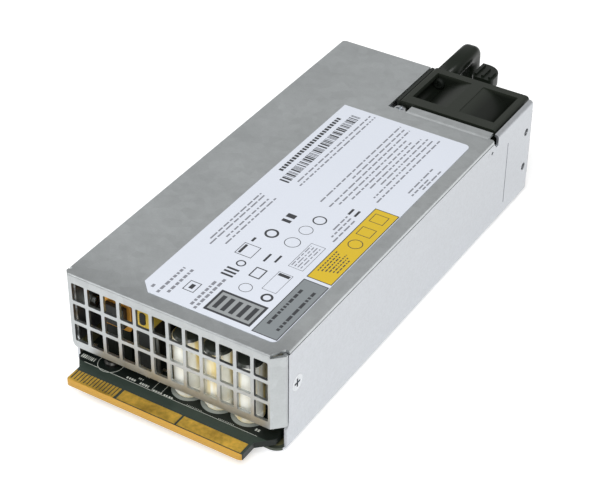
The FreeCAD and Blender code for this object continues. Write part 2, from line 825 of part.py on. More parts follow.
def transformer_core():
    """A ferrite core: a block with two windows along Y, either side of its middle leg."""
    core = box(transformer_x, transformer_y, (seat, seat + transformer_height))
    middle_x = sum(transformer_x) / 2
    middle_z = seat + transformer_height / 2
    for turn in (-1, 1):
        centre = middle_x + turn * (transformer_leg + transformer_window_width) / 2
        core = core.cut(box((centre - transformer_window_width / 2, centre + transformer_window_width / 2),
                            (transformer_y[0] - 1, transformer_y[1] + 1),
                            (middle_z - transformer_window_height / 2,
                             middle_z + transformer_window_height / 2)))
    return core


def transformer_winding():
    """Taped windings round the middle leg of the transformer, bulging out before and behind the core."""
    middle_x = sum(transformer_x) / 2
    middle_z = seat + transformer_height / 2
    half = transformer_leg / 2 + transformer_window_width - winding_clear
    tall = transformer_window_height / 2 - winding_clear
    outer = box((middle_x - half, middle_x + half),
                (transformer_y[0] - winding_reach, transformer_y[1] + winding_reach),
                (middle_z - tall, middle_z + tall))
    outer = rounded(outer, Z_AXIS, winding_corner_radius)
    inner = transformer_leg / 2 + winding_clear
    return outer.cut(box((middle_x - inner, middle_x + inner),
                         (transformer_y[0] - winding_clear, transformer_y[1] + winding_clear),
                         (0, case_height)))


def heat_sink(x):
    """An extruded aluminium plate with fins on its right side."""
    sink = box((x, x + sink_base), (sink_start, sink_end), (seat, sink_height))
    pitch = (sink_height - seat - sink_fin) / (sink_fins - 1)
    fins = []
    for index in range(sink_fins):
        low = seat + index * pitch
        fins.append(box((x, x + sink_width), (sink_start, sink_end), (low, low + sink_fin)))
    return fused([sink] + fins)


def heat_sinks():
    return [heat_sink(left_sink_x), heat_sink(inner_sink_x)]


def power_transistors():
    """Moulded packages against the flat face of the inner heat sink."""
    packages = []
    pitch = (sink_end - sink_start) / transistor_count
    back = inner_sink_x - sheet_gap
    for index in range(transistor_count):
        near = sink_start + index * pitch + transistor_gap / 2
        package = box((back - transistor_depth, back), (near, near + pitch - transistor_gap),
                      (transistor_low, transistor_high))
        packages.append(package)
    return packages


def filter_choke_height():
    return seat + filter_choke_radius


def filter_choke_core():
    """Common-mode choke: a ring core that stands on the board, under its two windings."""
    centre = (filter_choke_x, filter_choke_y - filter_choke_width / 2, filter_choke_height())
    return tube(centre, Y_AXIS, filter_choke_radius, filter_choke_radius - filter_choke_depth,
                filter_choke_width)


def filter_choke_winding():
    """Turns round the left and the right half of the ring, each a closed band."""
    middle = filter_choke_radius - filter_choke_depth / 2
    half_x = filter_choke_depth / 2 + filter_choke_clear
    half_y = filter_choke_width / 2 + filter_choke_clear
    half_z = filter_choke_wire / 2
    wall = 0.5
    bands = []
    for index in range(filter_choke_turns):
        for turn in (0, 180):
            angle = turn + (index - (filter_choke_turns - 1) / 2) * filter_choke_step
            band = box((-half_x - wall, half_x + wall), (-half_y - wall, half_y + wall), (-half_z, half_z))
            band = band.cut(box((-half_x, half_x), (-half_y, half_y), (-1, 1)))
            band.translate(Vector(middle, filter_choke_y, filter_choke_height()))
            band.rotate(Vector(0, filter_choke_y, filter_choke_height()), Y_AXIS, -angle)
            band.translate(Vector(filter_choke_x, 0, 0))
            bands.append(band)
    return bands


def filter_capacitors():
    """Box capacitors across the mains input."""
    boxes = []
    for index in range(filter_cap_count):
        near = filter_cap_start + index * filter_cap_pitch
        boxes.append(box((filter_cap_x, filter_cap_x + filter_cap_length), (near, near + filter_cap_width),
                         (seat, seat + filter_cap_height)))
    return boxes


def mains_fuse():
    """A sleeved cartridge fuse lying on the board."""
    return cylinder((fuse_x, fuse_start, seat + fuse_radius), Y_AXIS, fuse_radius, fuse_length)


def control_board():
    """A small board standing on edge, with its chips on one side."""
    return box(control_x, (sink_start, sink_end), (seat, control_height))


def control_chips():
    chips = []
    pitch = (sink_end - sink_start) / chip_count
    for index in range(chip_count):
        near = sink_start + (index + 0.5) * pitch - chip_length / 2
        chips.append(box((control_x[0] - chip_depth, control_x[0] - 0.05), (near, near + chip_length),
                         (chip_low, chip_high)))
    return chips


def rectifier_bridge():
    return box((rectifier_x, rectifier_x + rectifier_depth),
               (rectifier_start, rectifier_start + rectifier_length), (seat, rectifier_height))


# ---- rear panel and mains inlet ---------------------------------------------
def cutout_tab_top():
    return case_height - cutout_tab_drop


def rear_panel():
    """The plate round the inlet, its flange on the left wall and the divider beside the fan."""
    edge = wall_inner - sheet_gap
    top = case_height - sheet - sheet_gap
    low = sheet + sheet_gap
    plate = box((-edge, divider_x), (rear_panel_end - sheet, rear_panel_end), (low, top))
    flange = box((-edge, -edge + sheet), (rear_panel_end - rear_flange_length, rear_panel_end),
                 (low + 2.0, case_height - lip_depth - 2.0))
    tab_start = cutout_start - 1.2
    divider = box((divider_x - sheet, divider_x), (cutout_start + 1.5, rear_panel_end), (divider_low, top))
    tab = box((divider_x - sheet, cutout_screw_x + 3.6), (tab_start, fan_start - 0.2),
              (cutout_tab_top() - sheet, cutout_tab_top()))
    stem = box((divider_x - sheet, divider_x), (tab_start, cutout_start + 3.0),
               (divider_low, cutout_tab_top()))
    panel = fused([plate, flange, divider, tab, stem])
    half_x = inlet_body_width / 2 + 0.1
    half_z = inlet_body_height / 2 + 0.1
    panel = panel.cut(box((inlet_centre_x - half_x, inlet_centre_x + half_x),
                          (rear_panel_end - 2 * sheet, rear_panel_end + sheet),
                          (inlet_centre_z - half_z, inlet_centre_z + half_z)))
    lens_hole = cylinder((led_x, rear_panel_end - 2 * sheet, led_z), Y_AXIS, led_radius + 0.05, 3 * sheet)
    screw_hole = cylinder((cutout_screw_x, cutout_screw_y, 0), Z_AXIS, board_screw_radius + 0.05,
                          case_height)
    return panel.cut(Part.makeCompound([lens_hole, screw_hole]))


def cutout_screw():
    return pan_screw((cutout_screw_x, cutout_screw_y, cutout_tab_top()), Z_AXIS, cutout_screw_head_radius,
                     cutout_screw_head_height, board_screw_radius, 5.0)


def inlet_profile(width, height, chamfer, y):
    """The mains inlet's outline: a rectangle with its two upper corners cut off."""
    left = inlet_centre_x - width / 2
    right = inlet_centre_x + width / 2
    low = inlet_centre_z - height / 2
    high = inlet_centre_z + height / 2
    points = [(left, low), (right, low), (right, high - chamfer), (right - chamfer, high),
              (left + chamfer, high), (left, high - chamfer)]
    return section(points, y)


def inlet_housing():
    face = rear_panel_end
    flange = inlet_profile(inlet_flange_width, inlet_flange_height, 2.0,
                           (face, face + inlet_flange_thickness))
    flange = rounded(flange, Y_AXIS, 1.2)
    body = inlet_profile(inlet_body_width, inlet_body_height, 1.0, (face - inlet_body_depth, face))
    mouth_end = face + inlet_flange_thickness
    mouth = inlet_profile(inlet_mouth_width, inlet_mouth_height, inlet_mouth_chamfer,
                          (mouth_end - inlet_mouth_depth, mouth_end + 1))
    mouth = rounded(mouth, Y_AXIS, 1.0)
    housing = fused([flange, body]).cut(mouth)
    return housing.cut(Part.makeCompound(inlet_pin_boxes()))


def inlet_pin_boxes():
    """Two flat pins side by side and the earth pin above them."""
    start = rear_panel_end - inlet_body_depth - inlet_pin_tail
    end = rear_panel_end + inlet_flange_thickness - inlet_pin_inset
    low = inlet_centre_z - inlet_pin_offset
    places = ((-inlet_pin_spacing / 2, low), (inlet_pin_spacing / 2, low), (0, low + inlet_pin_rise))
    half_x = inlet_pin_width / 2
    half_z = inlet_pin_height / 2
    return [box((inlet_centre_x + x - half_x, inlet_centre_x + x + half_x), (start, end),
                (z - half_z, z + half_z)) for x, z in places]


def inlet_pins():
    """The pins, with their tips bevelled."""
    tip = rear_panel_end + inlet_flange_thickness - inlet_pin_inset
    return [pin.makeChamfer(0.4, [edge for edge in pin.Edges if edge.BoundBox.YMin > tip - 0.01])
            for pin in inlet_pin_boxes()]


def status_light():
    """A light pipe whose lens shows through the rear panel."""
    lens = cylinder((led_x, rear_panel_end + led_proud - led_length, led_z), Y_AXIS, led_radius, led_length)
    rim = [edge for edge in lens.Edges
           if isinstance(edge.Curve, Part.Circle) and edge.CenterOfMass.y > rear_panel_end]
    return lens.makeChamfer(0.4, rim)


# ---- fan --------------------------------------------------------------------
def fan_pocket():
    """The well beside the round tunnel, in one quarter of the frame."""
    half = fan_size / 2
    rail = half - fan_rail
    profile = [(2.5, half + 1), (rail, half + 1), (rail, half), (rail - 1.6, half - fan_pocket_depth),
               (fan_bore_radius * 0.55, half - fan_pocket_depth), (2.5, half - 1.6)]
    length = (fan_start + fan_flange_front, fan_start + fan_depth - fan_flange_rear)
    well = section(profile, length)
    return well.cut(cylinder((0, length[0] - 1, 0), Y_AXIS, half - 0.05, length[1] - length[0] + 2))


def fan_place(shape):
    shape.translate(Vector(fan_centre_x, 0, fan_centre_z))
    return shape


def fan_frame():
    half = fan_size / 2
    end = fan_start + fan_depth
    frame = rounded(box((-half, half), (fan_start, end), (-half, half)), Y_AXIS, fan_corner_radius)
    frame = frame.cut(cylinder((0, fan_start - 1, 0), Y_AXIS, fan_bore_radius, fan_depth + 2))
    well = fan_pocket()
    for turn in (False, True):
        quarter = well.mirror(Vector(0, 0, 0), Z_AXIS) if turn else well
        frame = frame.cut(quarter).cut(mirrored(quarter))
    pitch = fan_hole_pitch / 2
    holes = [cylinder((x, fan_start - 1, z), Y_AXIS, fan_hole_radius, fan_depth + 2)
             for x in (-pitch, pitch) for z in (-pitch, pitch)]
    holes += [cylinder((x, fan_start + fan_flange_front, z), Y_AXIS, fan_driver_radius,
                       fan_depth - fan_flange_front - fan_flange_rear)
              for x in (-pitch, pitch) for z in (-pitch, pitch)]
    frame = frame.cut(Part.makeCompound(holes))
    base = cylinder((0, end - fan_base_thickness, 0), Y_AXIS, fan_base_radius, fan_base_thickness)
    struts = []
    for index in range(fan_struts):
        strut = box((0, fan_bore_radius + 0.6), (end - fan_base_thickness, end - 0.6),
                    (-fan_strut_width / 2, fan_strut_width / 2))
        strut.rotate(Vector(0, 0, 0), Y_AXIS, 360 / fan_struts * index + 20)
        struts.append(strut)
    post = tube((0, end - fan_base_thickness - fan_post_length, 0), Y_AXIS,
                fan_bearing_radius + fan_post_wall, fan_bearing_radius, fan_post_length)
    frame = fused([frame, base] + struts)
    return fan_place(fused([frame, post]))


def fan_blade():
    """One swept blade: thin sections set at a steeper pitch near the hub."""
    tip = fan_bore_radius - fan_tip_gap
    root = fan_hub_radius - 0.4
    rings = []
    for share in (0.0, 0.5, 1.0):
        radius = root + (tip - root) * share
        pitch = math.radians(fan_blade_root_pitch + (fan_blade_tip_pitch - fan_blade_root_pitch) * share)
        chord = fan_blade_chord * (1 + 0.12 * share)
        along = Vector(math.cos(pitch), math.sin(pitch), 0) * (chord / 2)
        across = Vector(-math.sin(pitch), math.cos(pitch), 0) * (fan_blade_thickness / 2)
        corners = [along + across, along * -1 + across, along * -1 - across, along - across]
        turned = []
        for corner in corners:
            point = Vector(corner.x, corner.y, radius)
            turned.append(Rotation(Y_AXIS, fan_blade_lean * share).multVec(point))
        rings.append(Part.makePolygon(turned + turned[:1]))
    return Part.makeLoft(rings, True, True)


def fan_rotor():
    """The hub cup with its ring of blades."""
    start = fan_start + fan_hub_inset
    cup = cylinder((0, start, 0), Y_AXIS, fan_hub_radius, fan_hub_length)
    nose = [edge for edge in cup.Edges
            if isinstance(edge.Curve, Part.Circle) and edge.CenterOfMass.y < start + 1]
    cup = cup.makeChamfer(fan_nose_chamfer, nose)
    cup = cup.cut(cylinder((0, start + 1.6, 0), Y_AXIS, fan_hub_radius - fan_hub_wall, fan_hub_length))
    boss = cylinder((0, start + fan_boss_start, 0), Y_AXIS, fan_shaft_radius + 1.4, fan_boss_length)
    tunnel = cylinder((0, fan_start, 0), Y_AXIS, fan_bore_radius - fan_tip_gap, fan_depth)
    hollow = cylinder((0, fan_start, 0), Y_AXIS, fan_hub_radius - 0.2, fan_depth)
    middle = start + fan_hub_length / 2
    blades = []
    for index in range(fan_blades):
        blade = fan_blade()
        blade.translate(Vector(0, middle, 0))
        blade = blade.common(tunnel).cut(hollow)
        blade.rotate(Vector(0, 0, 0), Y_AXIS, 360 / fan_blades * index)
        blades.append(blade)
    rotor = cup.multiFuse([boss] + blades)
    rotor = rotor.cut(cylinder((0, start + 1.4, 0), Y_AXIS, fan_shaft_radius, 3.0))
    return fan_place(rotor)


def fan_shaft():
    start = fan_start + fan_hub_inset + 1.4
    end = fan_start + fan_depth - fan_base_thickness - 0.5
    return fan_place(cylinder((0, start, 0), Y_AXIS, fan_shaft_radius, end - start))


def fan_magnet():
    """The magnet ring inside the hub cup."""
    start = fan_start + fan_hub_inset + fan_magnet_inset
    outer = fan_hub_radius - fan_hub_wall
    return fan_place(tube((0, start, 0), Y_AXIS, outer, outer - fan_magnet_thickness, fan_magnet_length))


def fan_bearings():
    """Two ball bearings in the post."""
    end = fan_start + fan_depth - fan_base_thickness
    inner = fan_shaft_radius + fan_shaft_fit
    return [fan_place(tube((0, y, 0), Y_AXIS, fan_bearing_radius, inner, fan_bearing_length))
            for y in (end - fan_post_length, end - fan_bearing_length)]


def fan_stator():
    """Laminated core with four wound poles, pressed on the post."""
    start = fan_start + fan_hub_inset + fan_stator_inset
    length = fan_stator_length
    inner = fan_bearing_radius + fan_post_wall + 0.02
    hub = tube((0, start, 0), Y_AXIS, inner + 1.2, inner, length)
    arms = []
    for index in range(4):
        arm = box((inner + 0.4, fan_stator_radius), (start + 1.0, start + length - 1.0), (-1.9, 1.9))
        arm.rotate(Vector(0, 0, 0), Y_AXIS, 45 + 90 * index)
        arms.append(arm)
    return fan_place(fused([hub] + arms))


def fan_guard():
    """Stamped guard over the fan's outlet, with a flange folded in beside the fan."""
    left = fan_centre_x - fan_size / 2 - 0.6
    right = fan_centre_x + fan_size / 2 + 0.5
    face = (guard_start, guard_end)
    plate = box((left, right), face, (guard_inset, fan_size - guard_inset))
    plate = rounded(plate, Y_AXIS, guard_corner_radius)
    rings = []
    for ring in range(guard_rings):
        inner = guard_centre_radius + ring * (guard_ring_width + guard_bar_width)
        outer = inner + guard_ring_width
        rings.append(tube((fan_centre_x, face[0] - 1, fan_centre_z), Y_AXIS, outer, inner,
                          guard_thickness + 2))
    spokes = []
    for index in range(2):
        bar = box((-fan_size / 2, fan_size / 2), (face[0] - 2, face[1] + 2),
                  (-guard_spoke_width / 2, guard_spoke_width / 2))
        bar.rotate(Vector(0, 0, 0), Y_AXIS, 45 + 90 * index)
        bar.translate(Vector(fan_centre_x, 0, fan_centre_z))
        spokes.append(bar)
    slots = Part.makeCompound([ring.cut(Part.makeCompound(spokes)) for ring in rings])
    outer = wall_inner - sheet_gap
    heights = (guard_flange_inset, fan_size - guard_flange_inset)
    fold = box((outer - guard_thickness, outer), (guard_start - guard_flange_length, face[1]), heights)
    join = box((right - 3.0, outer), face, heights)
    plate = fused([plate.cut(slots), fold, join])
    holes = [(lever_pivot_x, lever_pivot_z, lever_pin_radius)]
    for x in (-fan_hole_pitch / 2, fan_hole_pitch / 2):
        for z in (-fan_hole_pitch / 2, fan_hole_pitch / 2):
            holes.append((fan_centre_x + x, fan_centre_z + z, fan_hole_radius))
    for x, z, radius in holes:
        plate = plate.cut(cylinder((x, face[0] - 1, z), Y_AXIS, radius, guard_thickness + 2))
    return plate


def fan_screws():
    """The two right-hand screws, driven through the guard into the fan's corner holes."""
    x = fan_centre_x + fan_hole_pitch / 2
    return [pan_screw((x, guard_end, fan_centre_z + z), Y_AXIS, 2.7, 1.8, fan_hole_radius - 0.05, 9.0)
            for z in (-fan_hole_pitch / 2, fan_hole_pitch / 2)]


# ---- handle and release lever -----------------------------------------------
def pull_handle():
    """A closed loop on edge: two bars that run back from the guard and a rounded outer leg."""
    x = (handle_x - handle_width / 2, handle_x + handle_width / 2)
    start = guard_end
    end = start + handle_reach
    loop = box(x, (start, end), (handle_bottom, handle_top))
    loop = rounded(loop, X_AXIS, handle_outer_radius, lambda p: p.y > end - 0.1)
    inside = box((x[0] - 1, x[1] + 1), (start - 1, end - handle_bar),
                 (handle_bottom + handle_bar, handle_top - handle_bar))
    inside = rounded(inside, X_AXIS, handle_inner_radius, lambda p: p.y > end - handle_bar - 0.1)
    foot = box(x, (start, start + handle_foot), (handle_bottom, handle_top))
    loop = fused([loop.cut(inside), foot])
    rims = [edge for edge in loop.Edges if edge.BoundBox.XLength < 0.01
            and edge.CenterOfMass.y > start + handle_foot + 0.1]
    loop = loop.makeFillet(handle_edge_radius, rims)
    for z in (-fan_hole_pitch / 2, fan_hole_pitch / 2):
        loop = loop.cut(cylinder((handle_x, start - 1, fan_centre_z + z), Y_AXIS, fan_hole_radius - 0.1,
                                 handle_screw_hole))
    return loop


def handle_screws():
    """Long screws from inside the fan's frame, through the guard into the handle's two feet."""
    y = fan_start + fan_depth - fan_flange_rear
    return [pan_screw((handle_x, y, fan_centre_z + z), -Y_AXIS, 2.3, 1.5, fan_hole_radius - 0.1,
                      handle_screw_length) for z in (-fan_hole_pitch / 2, fan_hole_pitch / 2)]


def release_lever():
    """A bell crank: the thumb pad on its upright arm, and the locking tooth under its other arm."""
    y = (lever_start, lever_end)
    hub = cylinder((lever_pivot_x, y[0], lever_pivot_z), Y_AXIS, lever_hub_radius, lever_thickness)
    arm_left = pad_left + 1.2
    arm_right = arm_left + lever_arm_width
    arm_top = pad_top - pad_thickness + 1.0
    upright = section([(lever_pivot_x - lever_hub_radius + 0.2, lever_pivot_z),
                       (lever_pivot_x + lever_hub_radius - 0.4, lever_pivot_z), (arm_right, arm_top - 7.0),
                       (arm_right, arm_top), (arm_left, arm_top), (arm_left, arm_top - 7.0)], y)
    low = lever_pivot_z - lever_hub_radius
    tooth_right = lever_tooth_x + lever_tooth_width / 2
    tooth_left = lever_tooth_x - lever_tooth_width / 2
    cross = section([(lever_pivot_x, low + 1.0), (tooth_left, low + 1.0), (tooth_left, -lever_tooth_drop),
                     (tooth_right, -lever_tooth_drop), (tooth_right, low + 4.6),
                     (lever_pivot_x, low + 2 * lever_hub_radius - 0.6)], y)
    ramp_end = lever_start + lever_thickness * 0.75
    ramp = side([(lever_start - 1, -lever_tooth_drop - 1), (ramp_end, -lever_tooth_drop - 1),
                 (ramp_end, -lever_tooth_drop), (lever_start - 1, lever_ramp_height - lever_tooth_drop)],
                (tooth_left - 1, tooth_right + 1))
    stalk = box((arm_left, arm_right), (lever_start, pad_near + 2.5), (arm_top - 3.6, arm_top))
    pad = plan([(pad_left, pad_near), (pad_right, pad_near), (pad_right, pad_far), (pad_left, pad_far)],
               (pad_top - pad_thickness, pad_top))
    pad = rounded(pad, Z_AXIS, pad_far_radius, lambda p: p.x > pad_right - 0.1 and p.y > pad_far - 0.1)
    pad = rounded(pad, Z_AXIS, pad_near_radius, lambda p: p.y < pad_near + 0.1)
    rib_pitch = (pad_right - pad_left) / pad_ribs
    ribs = []
    for index in range(pad_ribs):
        x = pad_left + (index + 0.45) * rib_pitch
        ribs.append(box((x - pad_rib_width / 2, x + pad_rib_width / 2),
                        (pad_near + 1.2, pad_far - 1.6 - index * 1.6),
                        (pad_top - 0.2, pad_top + pad_rib_height)))
    lever = fused([hub, upright, cross, stalk, pad] + ribs).cut(ramp)
    return lever.cut(cylinder((lever_pivot_x, y[0] - 1, lever_pivot_z), Y_AXIS,
                              lever_pin_radius + lever_pin_fit, lever_thickness + 2))


def lever_pin():
    """A headed pin riveted into the guard."""
    start = guard_start
    length = guard_thickness + lever_gap + lever_thickness + 0.3
    pin = cylinder((lever_pivot_x, start, lever_pivot_z), Y_AXIS, lever_pin_radius, length)
    head = cylinder((lever_pivot_x, start + length, lever_pivot_z), Y_AXIS,
                    lever_pin_radius + lever_pin_head, 1.0)
    return fused([pin, head])


def lever_spring():
    """A torsion spring round the pin, with one leg beside the handle's foot and one beside the lever."""
    height = spring_turns * spring_pitch
    coil = Part.makeHelix(spring_pitch, height, spring_radius, 0, True).Edges[0]
    rise = spring_leg * spring_pitch / (2 * math.pi * spring_radius)
    first = Part.makeLine(Vector(spring_radius, spring_leg, -rise), Vector(spring_radius, 0, 0))
    last = Part.makeLine(Vector(-spring_radius, 0, height),
                         Vector(-spring_radius, spring_leg, height + rise))
    path = Part.Wire([first, coil, last])
    corners = [Vector(spring_radius + spring_wire_radius * math.cos(math.radians(60 * index)), spring_leg,
                      -rise + spring_wire_radius * math.sin(math.radians(60 * index))) for index in range(6)]
    ring = Part.makePolygon(corners + corners[:1])
    spring = path.makePipeShell([ring], True, True)
    spring.rotate(Vector(0, 0, 0), X_AXIS, 90)
    spring.translate(Vector(lever_pivot_x, guard_end + lever_gap / 2 + height / 2, lever_pivot_z))
    return spring


def rating_label():
    """A printed film with one cut corner and two rounded ones, stuck on the cover."""
    corner = label_corner
    points = [(label_left + corner, label_front), (label_right, label_front), (label_right, label_rear),
              (label_left, label_rear), (label_left, label_front + corner)]
    film = plan(points, (case_height, case_height + label_thickness))
    return rounded(film, Z_AXIS, label_corner_radius, lambda p: p.x > label_right - 0.1)


# ---- outputs ----------------------------------------------------------------
def save(name, shape):
    """Write one node, moved so that the origin is under the middle of the case."""
    if isinstance(shape, list):
        shape = Part.makeCompound(shape)
    shape = shape.copy()
    shape.translate(Vector(0, -case_length / 2, 0))
    for solid in shape.Solids:
        if not solid.isValid():
            print("not valid:", name)
    shape.exportStep("parts/" + name + ".step")
    print("%-20s solids %3d  volume %10.1f" % (name, len(shape.Solids), shape.Volume))


NODES = {
    "top_cover": top_cover,
    "base_tray": base_tray,
    "side_screws": side_screws,
    "side_nuts": side_nuts,
    "side_rivets": side_rivets,
    "insulator_sheet": insulator_sheet,
    "board_standoffs": board_standoffs,
    "main_board": main_board,
    "signal_contacts": signal_contacts,
    "power_contacts": power_contacts,
    "board_screws": board_screws,
    "output_capacitors": output_capacitors,
    "capacitor_seats": capacitor_seats,
    "bulk_capacitor": bulk_capacitor,
    "choke_core": choke_core,
    "choke_base": choke_base,
    "choke_winding": choke_winding,
    "drive_core": drive_core,
    "drive_winding": drive_winding,
    "sense_post": sense_post,
    "transformer_core": transformer_core,
    "transformer_winding": transformer_winding,
    "heat_sinks": heat_sinks,
    "power_transistors": power_transistors,
    "filter_choke_core": filter_choke_core,
    "filter_choke_winding": filter_choke_winding,
    "filter_capacitors": filter_capacitors,
    "mains_fuse": mains_fuse,
    "control_board": control_board,
    "control_chips": control_chips,
    "rectifier_bridge": rectifier_bridge,
    "rear_panel": rear_panel,
    "cutout_screw": cutout_screw,
    "inlet_housing": inlet_housing,
    "inlet_pins": inlet_pins,
    "status_light": status_light,
    "fan_frame": fan_frame,
    "fan_rotor": fan_rotor,
    "fan_shaft": fan_shaft,
    "fan_magnet": fan_magnet,
    "fan_bearings": fan_bearings,
    "fan_stator": fan_stator,
    "fan_guard": fan_guard,
    "fan_screws": fan_screws,
    "pull_handle": pull_handle,
    "handle_screws": handle_screws,
    "release_lever": release_lever,
    "lever_pin": lever_pin,
    "lever_spring": lever_spring,
    "rating_label": rating_label,
}

os.makedirs("parts", exist_ok=True)
for node, make in NODES.items():
    save(node, make())
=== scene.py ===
"""Hot swap server power supply: finishes, printed label, board details, floor, lights and camera."""
import math
import random

import bmesh
import bpy
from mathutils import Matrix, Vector


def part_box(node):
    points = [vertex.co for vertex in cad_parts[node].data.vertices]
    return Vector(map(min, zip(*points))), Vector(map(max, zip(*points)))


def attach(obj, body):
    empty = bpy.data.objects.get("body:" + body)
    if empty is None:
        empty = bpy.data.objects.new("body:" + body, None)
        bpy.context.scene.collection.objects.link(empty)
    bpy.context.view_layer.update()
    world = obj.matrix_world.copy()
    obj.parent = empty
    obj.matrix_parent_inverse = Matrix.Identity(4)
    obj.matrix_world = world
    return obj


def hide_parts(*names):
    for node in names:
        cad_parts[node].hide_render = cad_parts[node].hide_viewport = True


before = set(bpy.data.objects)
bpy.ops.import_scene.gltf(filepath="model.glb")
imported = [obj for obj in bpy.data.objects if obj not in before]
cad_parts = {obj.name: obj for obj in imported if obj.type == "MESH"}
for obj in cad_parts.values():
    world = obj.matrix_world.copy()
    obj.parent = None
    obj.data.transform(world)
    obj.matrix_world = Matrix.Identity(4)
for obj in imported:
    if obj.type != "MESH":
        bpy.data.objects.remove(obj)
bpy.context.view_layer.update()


# ---- rear panel and side rivets ---------------------------------------------
# The panel that closes the rear end is folded from zinc-plated sheet steel with
# a fine satin grain.  The rivets are set flush in the side walls and plated alike.
def tint(red, green, blue):
    """A colour given as shades from 0 to 255, turned into the linear values that a shader takes."""
    linear = []
    for shade in (red, green, blue):
        part = shade / 255
        linear.append(part / 12.92 if part <= 0.04045 else ((part + 0.055) / 1.055) ** 2.4)
    return (*linear, 1.0)


def shared_effect(name, inputs, outputs):
    """A shader node group with the given sockets: returns it with what it is given and what it makes."""
    group = bpy.data.node_groups.new(name, "ShaderNodeTree")
    for label, kind, value in inputs:
        socket = group.interface.new_socket(name=label, in_out="INPUT", socket_type="NodeSocket" + kind)
        socket.default_value = value
    for label, kind in outputs:
        group.interface.new_socket(name=label, in_out="OUTPUT", socket_type="NodeSocket" + kind)
    return group, group.nodes.new("NodeGroupInput").outputs, group.nodes.new("NodeGroupOutput").inputs


def place_effect(tree, effect, values):
    """Places a shared effect among a material's nodes, with its own values."""
    node = tree.nodes.new("ShaderNodeGroup")
    node.node_tree = effect
    for label, value in values.items():
        node.inputs[label].default_value = value
    return node


def feed(tree, socket, value):
    """Gives a node's input a plain value, or links it to another node's output."""
    if isinstance(value, bpy.types.NodeSocket):
        tree.links.new(value, socket)
    else:
        socket.default_value = value


def combine(tree, operation, first, second, kind="ShaderNodeMath"):
    """One sum on two inputs, each a socket or a plain value."""
    node = tree.nodes.new(kind)
    node.operation = operation
    feed(tree, node.inputs[0], first)
    feed(tree, node.inputs[1], second)
    return node.outputs[0]


def mix_colours(tree, mode, share, first, second):
    """Lays the second colour over the first, by its share."""
    node = tree.nodes.new("ShaderNodeMix")
    node.data_type = "RGBA"
    node.blend_type = mode
    # The node takes its share at socket 0 and its colours at 6 and 7, and gives a colour at 2.
    for index, value in ((0, share), (6, first), (7, second)):
        feed(tree, node.inputs[index], value)
    return node.outputs[2]


def grey_of(tree, level):
    """A grey as light as the level says."""
    node = tree.nodes.new("ShaderNodeCombineColor")
    for channel in range(3):
        tree.links.new(level, node.inputs[channel])
    return node.outputs[0]


def place_on(tree):
    """Where a point lies on the part."""
    return tree.nodes.new("ShaderNodeTexCoord").outputs["Object"]


def cloud(tree, place, scale, detail):
    """Soft cloudy noise, from 0 to 1."""
    node = tree.nodes.new("ShaderNodeTexNoise")
    node.inputs["Detail"].default_value = detail
    feed(tree, node.inputs["Vector"], place)
    feed(tree, node.inputs["Scale"], scale)
    return node.outputs["Fac"]


def swing(tree, noise, reach):
    """The noise moved to swing about nought, and made as strong as its reach."""
    noise_middle = 0.5
    return combine(tree, "MULTIPLY", combine(tree, "SUBTRACT", noise, noise_middle), reach)


def build_fine_grain():
    """Fine uneven colour, gloss and height, as rolled sheet, moulded plastic and paper have."""
    group, given, made = shared_effect(
        "fine grain",
        (("Color", "Color", (0.5, 0.5, 0.5, 1.0)), ("Shade", "Float", 0.1), ("Roughness", "Float", 0.4),
         ("Gloss Spread", "Float", 0.1), ("Patch Scale", "Float", 60.0), ("Grain Scale", "Float", 1500.0)),
        (("Color", "Color"), ("Roughness", "Float"), ("Height", "Float")))
    patch_share = 0.6
    patches = cloud(group, place_on(group), given["Patch Scale"], detail=3.0)
    grain = cloud(group, place_on(group), given["Grain Scale"], detail=2.0)
    both = combine(group, "ADD", combine(group, "MULTIPLY", patches, patch_share),
                   combine(group, "MULTIPLY", grain, 1.0 - patch_share))
    uneven = combine(group, "MULTIPLY", swing(group, both, given["Shade"]), 2.0)
    level = combine(group, "ADD", uneven, 1.0)
    shaded = mix_colours(group, "MULTIPLY", 1.0, given["Color"], grey_of(group, level))
    group.links.new(shaded, made["Color"])
    gloss = combine(group, "ADD", given["Roughness"], swing(group, patches, given["Gloss Spread"]))
    group.links.new(gloss, made["Roughness"])
    group.links.new(grain, made["Height"])
    return group


fine_grain = build_fine_grain()
mm = 0.001      # one millimetre, in metres


def finish(name, colour, roughness, metallic=0.0, shine=0.5, shade=0.1, gloss_spread=0.1, patch_scale=60.0,
           grain_scale=1500.0, grain_depth=0.02, grain_strength=0.3):
    """A material whose shader is fed by the fine grain; the grain's depth is in millimetres."""
    material = bpy.data.materials.new(name)
    material.use_nodes = True
    tree = material.node_tree
    shader = tree.nodes["Principled BSDF"].inputs
    shader["Metallic"].default_value = metallic
    shader["Specular IOR Level"].default_value = shine
    grain = place_effect(tree, fine_grain, {
        "Color": colour, "Shade": shade, "Roughness": roughness, "Gloss Spread": gloss_spread,
        "Patch Scale": patch_scale, "Grain Scale": grain_scale})
    grain.name = "grain"
    bump = tree.nodes.new("ShaderNodeBump")
    bump.inputs["Strength"].default_value = grain_strength
    bump.inputs["Distance"].default_value = grain_depth * mm
    tree.links.new(grain.outputs["Color"], shader["Base Color"])
    tree.links.new(grain.outputs["Roughness"], shader["Roughness"])
    tree.links.new(grain.outputs["Height"], bump.inputs["Height"])
    tree.links.new(bump.outputs["Normal"], shader["Normal"])
    return material


def paint(material, *pieces):
    """Gives the frame's solids their finish."""
    for piece in pieces:
        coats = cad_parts[piece].data.materials
        coats.clear()
        coats.append(material)


tray_steel = finish("tray_steel", tint(199, 202, 206), 0.46, metallic=1.0, shade=0.2, gloss_spread=0.16,
                    patch_scale=900.0, grain_scale=2600.0, grain_depth=0.03, grain_strength=0.45)
paint(tray_steel, "rear_panel", "side_rivets")


